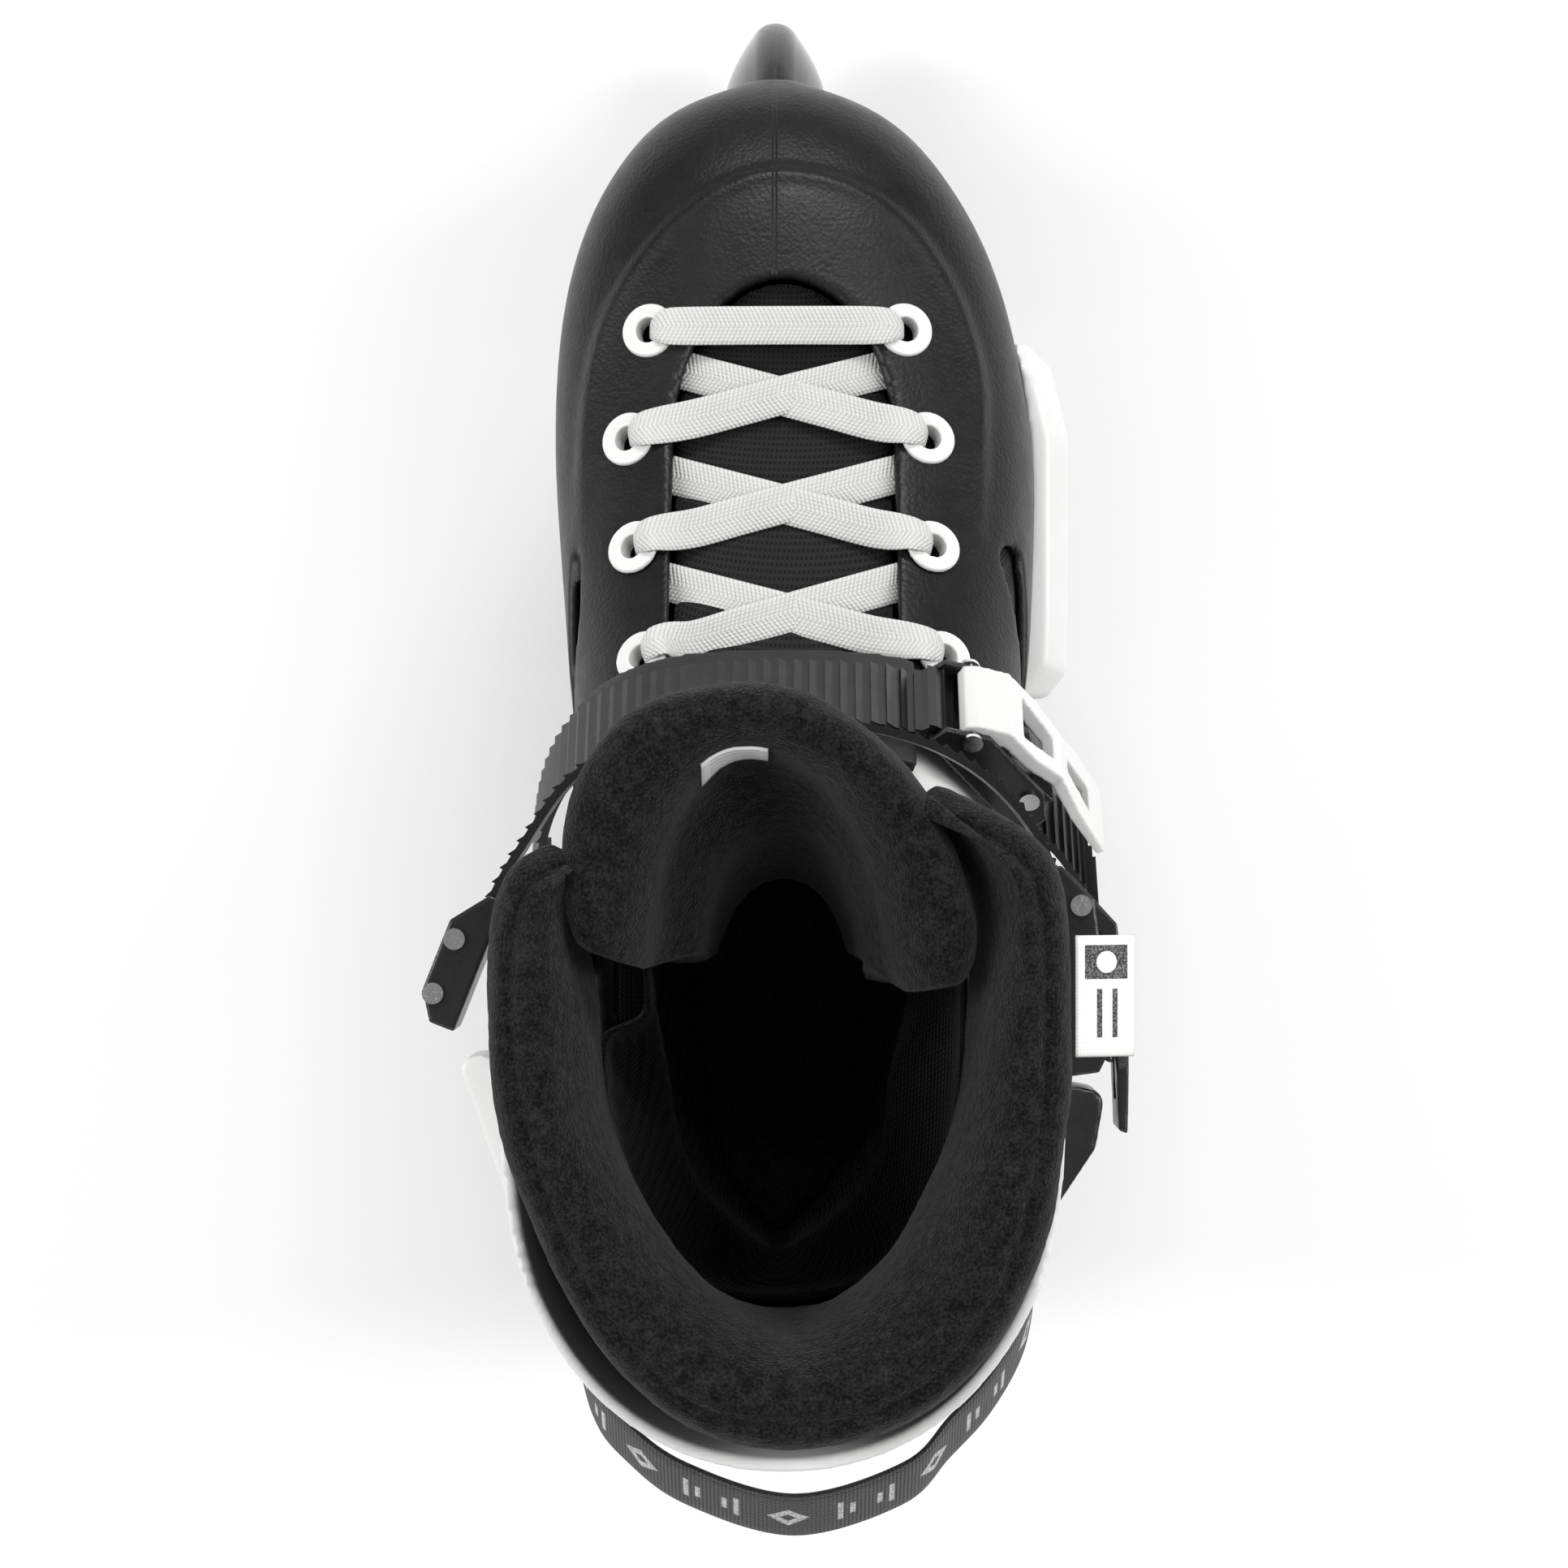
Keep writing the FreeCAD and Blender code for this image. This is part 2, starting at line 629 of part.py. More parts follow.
# ------------------------------------------------------------------ side slider
def side_slider():
    """Abrasion block on the outer side of the sole, moulded to the shell."""
    back, front, face_x = pivot.y + 51.5, pivot.y + 136, middle + 68
    plan = [(face_x - 26, back), (face_x - 5, back), (face_x - 0.5, back + 6), (face_x, back + 20),
            (face_x, front - 22), (face_x - 4, front - 6), (face_x - 10, front), (face_x - 30, front)]
    block = flat_face(plan, lambda x, y: V(x, y, front_seat - 2)).extrude(V(0, 0, 30))
    block = block.makeChamfer(5, [e for e in block.Edges if e.BoundBox.ZLength < 0.1
                                  and e.BoundBox.XMin > face_x - 12 and e.BoundBox.XLength < 11])
    swollen = boot_form(-0.25)
    return largest(block.cut(swollen))


slider_shape = side_slider()
screws = []
for y in (pivot.y + 74, pivot.y + 116):
    head_x = middle + 64
    z = front_seat + 13
    screws.append(rod(4, V(head_x, y, z), V(head_x + 2.2, y, z)).fuse(
        rod(2, V(head_x - 18, y, z), V(head_x, y, z))).cut(
        hex_prism(2.5, V(head_x + 0.8, y, z), V(head_x + 4, y, z))).removeSplitter())
    slider_shape = slider_shape.cut(rod(4.2, V(head_x, y, z), V(head_x + 20, y, z)))
    slider_shape = slider_shape.cut(rod(2.05, V(20, y, z), V(head_x + 1, y, z)))
    shell_shape = shell_shape.cut(rod(2.05, V(20, y, z), V(head_x + 1, y, z)))
feature("side_slider", largest(slider_shape))
feature("slider_screw", screws)
shell_shape = largest(shell_shape)
feature("boot_shell", shell_shape)

# ------------------------------------------------------------------ liner inside the shell
liner_outer = boot_form(wall + 0.5, num("sole_thick") + 0.6)
liner_inner = boot_form(wall + 7.5, num("sole_thick") + 8.6)
liner_shape = liner_outer.cut(liner_inner)
liner_shape = liner_shape.cut(tongue_slot(num("gap_half") + 0.5, slot_front + 3, front_seat + 34))
liner_shape = liner_shape.cut(side_cutter([(pivot.y + 34, 300), (pivot.y + 33, rim - 2), (heel_y - 20, rim + 3),
                                           (heel_y - 20, 300)]))
for side, face_x in ears:
    liner_shape = liner_shape.cut(rod(9, V(face_x - side * 22, pivot.y, pivot.z), V(face_x, pivot.y, pivot.z)))
for row in eyelet_rows:
    for point, normal in row:
        liner_shape = liner_shape.cut(rod(num("eyelet_radius") * 0.7, point - normal * (wall + 2.5), point))
for y in (num("front_bolt_y"), rear_bolt_y.value):
    liner_shape = liner_shape.cut(rod(12.6, V(0, y, front_seat), V(0, y, rear_seat + num("sole_thick") + 0.4)))
for y in (pivot.y + 74, pivot.y + 116):
    liner_shape = liner_shape.cut(rod(3, V(middle + 40, y, front_seat + 13), V(middle + 70, y, front_seat + 13)))
feature("liner_foot", largest(liner_shape))


def thin_layer(inset, floor, thick):
    """A layer lying on the inside of the sole."""
    form = boot_form(inset, floor)
    lid = []
    for along, _, _, low, _ in SECTIONS[2:-2]:
        y = heel_y + along * num("boot_length")
        lid.append((y, front_seat + low * (rear_seat - front_seat) / 12 + floor + thick))
    return largest(form.cut(side_cutter(lid + [(lid[-1][0] + 30, lid[-1][1]), (lid[-1][0] + 30, 320),
                                               (lid[0][0] - 30, 320), (lid[0][0] - 30, lid[0][1])])))


feature("footbed", thin_layer(wall + 8.4, num("sole_thick") + 8.9, 5))


def tongue_lower():
    """Padded tongue filling the slot just under the shell edges."""
    half_width = num("gap_half") - 0.8
    form = boot_form(wall + 2.2, num("sole_thick"))
    hollow = boot_form(wall + 8, num("sole_thick"))
    plug = form.cut(hollow).common(tongue_slot(half_width, slot_front - 0.8, front_seat + 40))
    plug = plug.cut(side_cutter([(pivot.y + 38, 300), (pivot.y + 36, 100), (heel_y - 20, 100), (heel_y - 20, 300)]))
    return largest(plug)


lower_tongue = tongue_lower()
feature("tongue_lower", lower_tongue)

# ------------------------------------------------------------------ laces
def flat_strip(stations, width, thick):
    """Flat lace: rectangles square to the run, lofted from point to point."""
    wires = []
    for i, point in enumerate(stations):
        run = stations[min(i + 1, len(stations) - 1)] - stations[max(i - 1, 0)]
        across = V(0, 0, 1).cross(run).normalize()
        up = run.cross(across).normalize()
        corners = [point + across * (sx * width / 2) + up * (sz * thick / 2)
                   for sx, sz in ((-1, -1), (1, -1), (1, 1), (-1, 1))]
        wires.append(Part.makePolygon(corners + [corners[0]]))
    return Part.makeLoft(wires, True, True)


lace_width = num("lace_width")
edge = num("gap_half") + 1.5


def over_shell(x, y, height):
    point, normal = surface_point(x, y)
    return point + normal * height


strips = []
(left_point, _), (right_point, _) = eyelet_rows[0]
front_y = left_point.y
strips.append(flat_strip([over_shell(x, front_y, h) for x, h in (
    (left_point.x + 1, 3), (middle - edge, 3.2), (middle, 3.4), (middle + edge, 3.2), (right_point.x - 1, 3))],
    lace_width, 1.2))
for k in range(4):
    for side in (-1, 1):
        top_strand = 1.9 if side < 0 else 0.0
        start_y = eyelet_rows[k][0][0].y - 7.5
        goal_x = eyelet_rows[min(k + 1, 3)][1 if side > 0 else 0][0].x
        goal_y = start_y - 18.1
        rise = [(middle - side * (num("gap_half") - 3.4), -3.1), (middle, -0.4 + top_strand)]
        if k < 3:
            rise += [(middle + side * edge, 2.6), (goal_x - side * 1.5, 3)]
        else:
            rise += [(middle + side * 14, -1.4)]
        low_x, high_x = rise[0][0], goal_x if k < 3 else middle + side * edge
        points = [over_shell(x, start_y + (goal_y - start_y) * (x - low_x) / (high_x - low_x), h) for x, h in rise]
        strips.append(flat_strip(points, lace_width, 1.2))
feature("lace", [largest(strip.cut(eyelets + [lower_tongue, shell_shape])) for strip in strips])

# ------------------------------------------------------------------ cuff
def oval(z, middle_y, half_x, half_y, power=2.15, shift=0.0):
    points = []
    for k in range(24):
        x, y = squircle(2 * math.pi * (k + 0.5) / 24, power)
        points.append(V(middle + shift + half_x * x, pivot.y + middle_y + half_y * y, z))
    return smooth_loop(points)


def cuff_form(inset, bottom=-24.0, top=None):
    """Oval column of the lower leg, leaning back and opening upwards."""
    top = num("cuff_rise") if top is None else top
    wires = []
    for k in range(7):
        rise = bottom + (top - bottom) * k / 6
        part = max(rise, 0) / 124
        half_x = num("ear_half") + 5 + 8 * part - inset
        power = 3 - 0.85 * min(1, max(0, (rise - 10) / 70))
        wires.append(oval(pivot.z + rise, -25 - 10 * part ** 1.5, half_x, 70.5 + 7.5 * part - inset, power))
    return Part.makeLoft(wires, True, False)


cuff_top = pivot.z + num("cuff_rise")
ring_wall = cuff_form(0).cut(cuff_form(num("cuff_wall"), -30, num("cuff_rise") + 10))
front_edge = side_cutter([
    (pivot.y - 140, pivot.z - 6), (pivot.y - 52, pivot.z - 6), (pivot.y - 20, pivot.z - 13),
    (pivot.y - 10, pivot.z - 17), (pivot.y, pivot.z - 18.5), (pivot.y + 10, pivot.z - 17),
    (pivot.y + 15, pivot.z - 8), (pivot.y + 17, pivot.z + 6), (pivot.y + 19, pivot.z + 20),
    (pivot.y + 17, pivot.z + 42), (pivot.y + 20, pivot.z + 88), (pivot.y + 12, pivot.z + 92),
    (pivot.y - 25, cuff_top - 21), (pivot.y - 65, cuff_top - 4), (pivot.y - 75, cuff_top - 0.5),
    (pivot.y - 140, cuff_top - 0.5)])
cuff_shape = ring_wall.common(front_edge)


def front_lobe(side, swell=0.0):
    """Curved wing of the cuff that wraps the front of the ankle, concentric with the hinge."""
    outer, inner = [], []
    for k in range(9):
        angle = math.radians(24 + 58 * k / 8)
        x, r = squircle(angle, 3.2)
        for points, deep, grow in ((outer, 0, swell), (inner, 3, -swell)):
            points.append(V(middle + side * (num("strap_half") - 4.5 - deep + grow) * x,
                            (num("strap_over") - 5.2 - deep + grow) * r, 0))
    face = Part.Face(Part.Wire([smooth_edge(outer), Part.makeLine(outer[-1], inner[-1]), smooth_edge(inner),
                                Part.makeLine(inner[0], outer[0])]))
    wing = face.revolve(V(0, 0, 0), V(1, 0, 0), 33)
    wing.rotate(V(0, 0, 0), V(1, 0, 0), 33)
    wing.translate(pivot)
    return wing


flex = (-4, 0, 8)
swollen_boot = boot_form(-0.5).cut(top_opening(rim + 0.5))
for side, face_x in ears:
    cuff_shape = cuff_shape.fuse(front_lobe(side))
for angle in flex:
    swept = swollen_boot.copy()
    swept.rotate(pivot, V(1, 0, 0), angle)
    cuff_shape = cuff_shape.cut(swept)
for side, face_x in ears:
    ear = rod(15, V(face_x + side * 0.4, pivot.y, pivot.z), V(face_x + side * 5, pivot.y, pivot.z))
    clear = rod(15.6, V(face_x - side * 8, pivot.y, pivot.z), V(face_x + side * 0.4, pivot.y, pivot.z))
    cuff_shape = cuff_shape.cut(clear).fuse(ear)
    cuff_shape = cuff_shape.cut(rod(6.2, V(0, pivot.y, pivot.z), V(side * 90, pivot.y, pivot.z)))

bushings, pivot_bolts, pivot_nuts = [], [], []
for side, face_x in ears:
    def along(offset):
        return V(face_x + side * offset, pivot.y, pivot.z)
    bushings.append(ring(6.1, 4.1, along(0.4), along(5)))
    head = rod(8, along(8.2), along(10.8)).cut(hex_prism(5, along(9), along(12)))
    pivot_bolts.append(head.fuse(rod(4, along(-7), along(8.2))).removeSplitter())
    pivot_nuts.append(ring(7.5, 4, along(-9), along(-wall - 4.2)))
feature("cuff_bushing", bushings)
feature("cuff_pivot_bolt", pivot_bolts)

# ------------------------------------------------------------------ collar and upper tongue
def collar_ring(bottom, top):
    """Padded collar: inside the cuff, then fuller above its rim."""
    gap = num("cuff_wall") + 0.8
    column = cuff_form(gap, bottom - pivot.z, num("cuff_rise") + 1)
    upper, inner = [], []
    for rise, puff in ((num("cuff_rise") + 0.5, 0), (num("cuff_rise") + 12, 1.6), (top - pivot.z - 7, 1.2),
                       (top - pivot.z, -4)):
        upper.append(oval(pivot.z + rise, -35, num("ear_half") + 13 - gap + puff, 78 - gap - 3 + puff))
    for rise in (bottom - pivot.z - 1, 70, 100, num("cuff_rise"), top - pivot.z + 1):
        part = rise / 124
        wide = 0.45 + 0.55 * min(1, max(0, (rise - 38) / 60))
        thick = num("collar_wall") * wide + gap
        inner.append(oval(pivot.z + rise, -23 - 10 * min(part, 1) ** 1.5, num("ear_half") + 5 + 8 * min(part, 1)
                          - thick, 70.5 + 7.5 * min(part, 1) - thick - 3 * wide))
    return column.fuse(Part.makeLoft(upper, True, False)).cut(Part.makeLoft(inner, True, False))


collar_top = pivot.z + num("collar_rise")
collar_bottom = pivot.z + 38
collar = collar_ring(collar_bottom, collar_top)
collar = collar.cut(side_cutter([(pivot.y + 17, 100), (pivot.y + 15, pivot.z + 60), (pivot.y + 20, collar_top + 10),
                                 (pivot.y + 120, collar_top + 10), (pivot.y + 120, 100)]))


def tongue_upper():
    """Horseshoe in front of the shin, its arms tucked inside the collar."""
    outer, inner = [], []
    levels = [(pivot.z + 46, 22, 0), (pivot.z + 57, 22.5, 0.1), (pivot.z + 68, 30, 0.2), (pivot.z + 85, 36, 0.4),
              (pivot.z + 112, 44, 0.7), (collar_top - 6, 51, 0.95), (collar_top + 1, 47, 1)]
    for z, front, part in levels:
        half_x = 27 + 10.5 * part
        thick = 12 + 7 * part
        half_y = 40 + 6 * part
        outer.append(oval(z, front - half_y, half_x, half_y, 2.3))
        inner.append(oval(z, front - half_y - 2, half_x - thick, half_y - thick, 2.1))
    form = Part.makeLoft(outer, True, False).cut(Part.makeLoft(inner, True, False))
    for side, _ in ears:
        form = form.cut(front_lobe(side, 0.6))
    return form.cut(side_cutter([(pivot.y - 4, 100), (pivot.y - 14, 400), (pivot.y - 140, 400), (pivot.y - 140, 100)]))


tongue = tongue_upper()
collar = collar.cut(Part.makeLoft([oval(z, front - hy, hx + 0.7, hy + 0.7, 2.3) for z, front, hx, hy in (
    (pivot.z + 30, 33, 27.5, 40), (pivot.z + 75, 34, 30.6, 42), (pivot.z + 110, 43, 34.6, 44.5),
    (collar_top + 3, 51, 38, 46.5))], True, False))
feature("tongue_top", largest(tongue))
feature("liner_collar", largest(collar))

# ------------------------------------------------------------------ webbing loop and side tab
def heel_loop():
    """Pull loop of flat webbing behind the collar, its face turned slightly up."""
    z = cuff_top - 33
    plan = [(-44, -106), (-43, -122), (-39, -140), (-32, -149.5), (-19, -159), (4.5, -165.8), (28, -159),
            (38, -149), (47, -139), (54, -126), (56.5, -110), (56.5, -100)]
    outer = [V(x, pivot.y + 45 + y, z + 10) for x, y in plan]
    centre = V(2, pivot.y - 45, z + 10)
    inner = [p - (p - centre).normalize() * 1.3 for p in outer]
    face = Part.Face(Part.Wire([smooth_edge(outer), Part.makeLine(outer[-1], inner[-1]), smooth_edge(inner),
                                Part.makeLine(inner[0], outer[0])]))
    return face.extrude(V(0, -0.5, -0.866) * num("loop_width"))


loop_shape = heel_loop()
swollen_cuff = cuff_form(-0.4, -24, num("cuff_rise") + 2)
feature("heel_loop", largest(loop_shape.cut(swollen_cuff)))

tab = Part.makeBox(13.5, 25, 1.0, V(0, 0, 0))
tab_place = FreeCAD.Placement(V(61.6, pivot.y - 25, collar_top - 10.6), FreeCAD.Rotation(V(0, 1, 0), 24))
feature("side_tab", tab, tab_place)

# ------------------------------------------------------------------ strap over the instep
lean = math.radians(num("strap_lean"))
fore = V(0, math.cos(lean), math.sin(lean))
strap_turn = FreeCAD.Rotation(V(1, 0, 0), V(0, math.sin(lean), -math.cos(lean)), fore)
strap_place = FreeCAD.Placement(V(0, pivot.y, pivot.z), strap_turn)


def arch_points(half_x, over, start, end, count):
    """Points of the strap arch in its own plane, angles counted from the outer side."""
    points = []
    for k in range(count):
        x, d = squircle(math.radians(start + (end - start) * k / (count - 1)), 3.2)
        points.append(V(middle + half_x * x, 0, over * d))
    return points


def offset_points(points, distance):
    """Points moved sideways, to the left of the run seen with the width pointing away."""
    moved = []
    for i, p in enumerate(points):
        run = points[min(i + 1, len(points) - 1)] - points[max(i - 1, 0)]
        moved.append(p + V(-run.z, 0, run.x).normalize() * distance)
    return moved


def band(points, thick, width, teeth=False):
    """Flat strap along a run of points in the local XZ plane; teeth add a sawtooth on its outer face."""
    points = [p + V(0, -width / 2, 0) for p in points]
    outer = offset_points(points, thick)
    if teeth:
        run = smooth_edge(outer)
        count = int(run.Length / num("tooth_pitch"))
        marks = run.discretize(count * 2 + 1)
        lifted = offset_points(marks, num("tooth_rise"))
        saw = []
        for k in range(count):
            saw += [marks[2 * k], lifted[2 * k], marks[2 * k + 1]]
        far_side = Part.makePolygon(saw + [marks[-1]]).Edges
        outer = [marks[0], marks[-1]]
    else:
        far_side = [smooth_edge(outer)]
    wire = Part.Wire(Part.sortEdges([smooth_edge(points), Part.makeLine(points[-1], outer[-1]),
                                     Part.makeLine(outer[0], points[0])] + far_side)[0])
    return Part.Face(wire).extrude(V(0, width, 0))


over, strap_half = num("strap_over"), num("strap_half")
thick = num("ladder_thick")
pad_run = arch_points(strap_half - 3.1, over - 3.6, 142, 67, 14)
pad = band(pad_run, 3.3, num("pad_width"))
for k in range(4):
    notch = rod(3, V(middle - 25 + 14 * k, -num("pad_width") / 2 - 1.2, over - 12),
                V(middle - 25 + 14 * k, -num("pad_width") / 2 - 1.2, over + 6))
    pad = pad.cut(notch)
feature("instep_pad", largest(pad), strap_place)

# The buckle lies on a straight stretch of the ladder over the outer corner of the ankle.
buckle_run = V(0.62, 0, -0.785).normalize()
buckle_out = V(-buckle_run.z, 0, buckle_run.x)
ladder_run = arch_points(strap_half, over + 0.4, 175, 68, 18)
corner = V(middle + 33.5, 0, over - 0.9)
straight = [corner + buckle_run * t for t in range(4, 48, 4)]
tail = [corner + buckle_run * 56 + V(-1.2, 0, -2), corner + buckle_run * 65 + V(-3.4, 0, -6.0)]
ladder_run = ladder_run + [corner] + straight + tail
feature("instep_ladder", band(ladder_run, thick, num("ladder_width"), True), strap_place)

# ------------------------------------------------------------------ ratchet buckles
cheek_half = dims.ladder_width * 0.5 + 2.4
lever_half = cheek_half - 2.1
pawl_half = cheek_half - 3.6
ladder_lift = 1.9


def buckle_frame(local_place, at, run, out):
    """Placement with x along the strap, z outwards."""
    rotation = FreeCAD.Rotation(run, out.cross(run), out)
    return local_place.multiply(FreeCAD.Placement(at, rotation))


def side_view_body(label, corners, width, placement):
    body = new_body(label)
    sketch = new_sketch(body, "XZ_Plane")
    add_outline(sketch, corners)
    extrude(body, "Pad", sketch, width)
    body.Placement = placement
    return body


def pin_holes(body, pins, radius):
    sketch = new_sketch(body, "XZ_Plane")
    for x, z in pins:
        add_circle(sketch, x, z, radius)
    extrude(body, "Pocket", sketch, 100)


def buckle_base(label, placement, start, length, pins, height):
    """U-shaped base: floor under the ladder, two cheeks carrying the pins."""
    corners = [(start, -0.2), (length, -0.2), (length, height - 4), (length - 6, height), (start + 8, height),
               (start, height - 6)]
    body = side_view_body(label, corners, cheek_half * 2, placement)
    inside = new_sketch(body, "YZ_Plane")
    inner = cheek_half - 1.8
    add_outline(inside, [(-inner, 1.4), (inner, 1.4), (inner, height + 5), (-inner, height + 5)])
    extrude(body, "Pocket", inside, 300)
    pin_holes(body, pins, dims.buckle_pin)
    return body


def lever(label, placement, pin, reach, top, slot_from, slot_to):
    """Buckle lever: hinge block at the pin, open arms, closed loop at the far end."""
    x, z = pin
    corners = [(x - 2.2, z - 2), (x + 2.6, z - 2.2), (x + 7, top - 3.2), (x + 24, top - 2.6), (reach, top - 5),
               (reach + 1, top - 3.2), (x + 24, top + 0.8), (x + 5, top + 0.6), (x - 1.6, z + 2.6), (x - 3, z + 0.6)]
    body = side_view_body(label, corners, lever_half * 2, placement)
    plan = new_sketch(body, "XY_Plane")
    arm = lever_half - 4
    waist = (slot_from + slot_to) * 0.5
    add_outline(plan, [(slot_from, -arm), (waist - 3, -arm * 0.55), (waist - 3, arm * 0.55), (slot_from, arm)])
    add_outline(plan, [(waist + 3, -arm * 0.3), (slot_to, -arm * 0.6), (slot_to, arm * 0.6), (waist + 3, arm * 0.3)])
    for sign in (-1, 1):
        edge_y = lever_half + 1
        add_outline(plan, [(waist - 12, sign * edge_y), (waist, sign * (lever_half - 3.2)),
                           (waist + 12, sign * edge_y)])
    extrude(body, "Pocket", plan, 200)
    pin_holes(body, [pin], dims.buckle_pin + 0.05)
    return body


def pawl(label, placement, pin, tip, tail=6.0):
    """Spring-loaded dog: its tip rests on the ladder teeth, its tail is the finger tab."""
    x, z = pin
    low = ladder_lift + dims.ladder_thick + dims.tooth_rise + 0.1
    corners = [(x - 2.4, z - 1.2), (x - tip, low), (x - tip - 0.6, low + 0.8), (x - tip + 2, z + 0.6), (x - 2, z + 2.3),
               (x + 2, z + 2.3), (x + tail, z + 2.6), (x + tail, z + 1.4), (x + 2.3, z - 1.2)]
    body = side_view_body(label, corners, pawl_half * 2, placement)
    pin_holes(body, [pin], dims.buckle_pin + 0.05)
    return body


def cross_pins(label, items):
    """Headed pins across one or more buckles, as one group."""
    length = cheek_half.value + 0.9
    pins = []
    for placement, (x, z) in items:
        heads = [rod(2.3, V(x, s * length, z), V(x, s * (length - 0.9), z)) for s in (-1, 1)]
        pin = rod(num("buckle_pin"), V(x, -length, z), V(x, length, z)).fuse(heads)
        pin.Placement = placement
        pins.append(pin)
    return feature(label, pins)


def coil_springs(label, items):
    coils = []
    for placement, (x, z) in items:
        for side in (-1, 1):
            for k in range(2):
                loop = Part.makeTorus(2.15, 0.3, V(x, side * (pawl_half.value + 0.42 + 0.62 * k), z), V(0, 1, 0))
                loop.Placement = placement.multiply(loop.Placement)
                coils.append(loop)
    return feature(label, coils)


instep = buckle_frame(strap_place, corner - buckle_out * ladder_lift, buckle_run, buckle_out)
instep_pins = [(6, 8), (27, 8)]
buckle_base("instep_buckle_base", instep, 0, 34, instep_pins, 11.4)
lever("instep_lever", instep, instep_pins[0], 50, 14.6, 16, 44)
pawl("instep_pawl", instep, instep_pins[1], 8)
cross_pins("instep_buckle_pin", [(instep, pin) for pin in instep_pins])
coil_springs("instep_spring", [(instep, instep_pins[1])])

# Base straps: from the hinge bolt up the outer side to the buckle, and up the inner side to the pad.
side_x = middle + num("ear_half") + 5.4
outer_run = [V(side_x, 0, -9), V(side_x, 0, -2), V(side_x, 0, 6), V(side_x - 0.2, 0, 14)]
end_point = corner + buckle_run * 33 - buckle_out * (ladder_lift + 2.7)
outer_run += [end_point + V(1.6, 0, -7), end_point]
outer_strap = band(outer_run[::-1], 2.2, 20).cut(rod(4.2, V(0, 0, 0), V(100, 0, 0)))
side_x = middle - num("ear_half") - 5.2
inner_run = [V(side_x, 0, -9), V(side_x, 0, 4), V(side_x, 0, 16)]
inner_strap = band(inner_run, 1.5, 20).cut(rod(4.2, V(0, 0, 0), V(-100, 0, 0)))
feature("instep_base_strap", [outer_strap, inner_strap], strap_place)

# ------------------------------------------------------------------ strap around the cuff
cuff_strap = FreeCAD.Placement(V(0, 0, num("cuff_strap_z")), FreeCAD.Rotation(V(1, 0, 0), V(0, 0, -1), V(0, 1, 0)))
buckle_at, buckle_dir = V(57.2, 0, -36.1), V(0.135, 0, -0.99)
adjust_at, adjust_dir = V(-59.1, 0, -42.8), V(-0.37, 0, -0.93)
outward = V(0.99, 0, 0.135)
adjust_out = V(-0.93, 0, 0.37)
ladder_path = [adjust_at + adjust_dir * step + adjust_out * ladder_lift for step in range(24, -8, -4)]
ladder_path += [V(-51.5, 0, -25), V(-43, 0, -13.5), V(-24, 0, -4.5), V(2, 0, -1.5), V(28, 0, -4.5), V(45, 0, -13),
                V(54, 0, -22.5)]
ladder_path += [buckle_at + buckle_dir * step + outward * ladder_lift for step in range(-4, 33, 4)]
feature("cuff_ladder", band(ladder_path, thick, num("ladder_width"), True), cuff_strap)

cuff_buckle = buckle_frame(cuff_strap, buckle_at, buckle_dir, outward)
cuff_pins = [(5, 8), (34, 8)]
buckle_base("cuff_buckle_base", cuff_buckle, -4, 41, cuff_pins, 11)
lever("cuff_lever", cuff_buckle, cuff_pins[0], 54, 14.6, 16, 48)
pawl("cuff_pawl", cuff_buckle, cuff_pins[1], 8, 5.4)

# The inner-side adjuster faces the other way: its ladder end points to the heel.
adjuster = FreeCAD.Placement(adjust_at, FreeCAD.Rotation(adjust_dir, adjust_out.cross(adjust_dir), adjust_out))
adjuster = cuff_strap.multiply(adjuster)
adjust_pins = [(7.5, 7), (20, 7)]
buckle_base("cuff_adjuster_base", adjuster, -4, 26, adjust_pins, 9.4)
pawl("cuff_adjuster_pawl", adjuster, adjust_pins[0], 6.6, 8.0)
cross_pins("cuff_strap_pin", [(cuff_buckle, pin) for pin in cuff_pins] + [(adjuster, pin) for pin in adjust_pins])
coil_springs("cuff_spring", [(cuff_buckle, cuff_pins[1]), (adjuster, adjust_pins[0])])


def strap_cover(label, plan, z):
    """Pocket on the cuff that holds the fixed end of a strap fitting."""
    block = flat_face(plan, lambda x, y: V(x, y, z - 13)).extrude(V(0, 0, 26))
    block = block.makeFillet(3, [e for e in block.Edges if runs_along(V(0, 0, 1))(e)
                                 and abs(e.BoundBox.XMin - middle) > 58])
    return feature(label, largest(block.cut(swollen_cuff)))


strap_cover("strap_cover_inner", [(-68, -72.5), (-62, -72), (-40, -85), (-40, -108), (-56, -106)], num("cuff_strap_z"))
strap_cover("strap_cover_outer", [(65.5, -79), (71, -80), (69, -92), (61, -104), (40, -108), (40, -84), (60, -79)],
            num("cuff_strap_z"))
feature("cuff_pivot_nut", pivot_nuts)
feature("cuff", largest(cuff_shape))

# ------------------------------------------------------------------ check and write
doc.recompute()
bad = [o.Label for o in doc.Objects if "Invalid" in o.State or "Error" in o.State]
if bad:
    raise SystemExit("failed objects: %s" % bad)
nodes = [o for o in doc.Objects if o.TypeId == "PartDesign::Body" or o.TypeId == "Part::Feature"]
for node in nodes:
    if node.Shape.isNull() or not node.Shape.isValid() or not node.Shape.Solids:
        raise SystemExit("no valid shape: " + node.Label)
for node in nodes:
    node.Shape.exportStep("parts/%s.step" % node.Label)
print(len(nodes), "nodes written")
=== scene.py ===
import json
import math

import bmesh
import bpy
import numpy as np
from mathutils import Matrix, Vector, noise
from mathutils.bvhtree import BVHTree


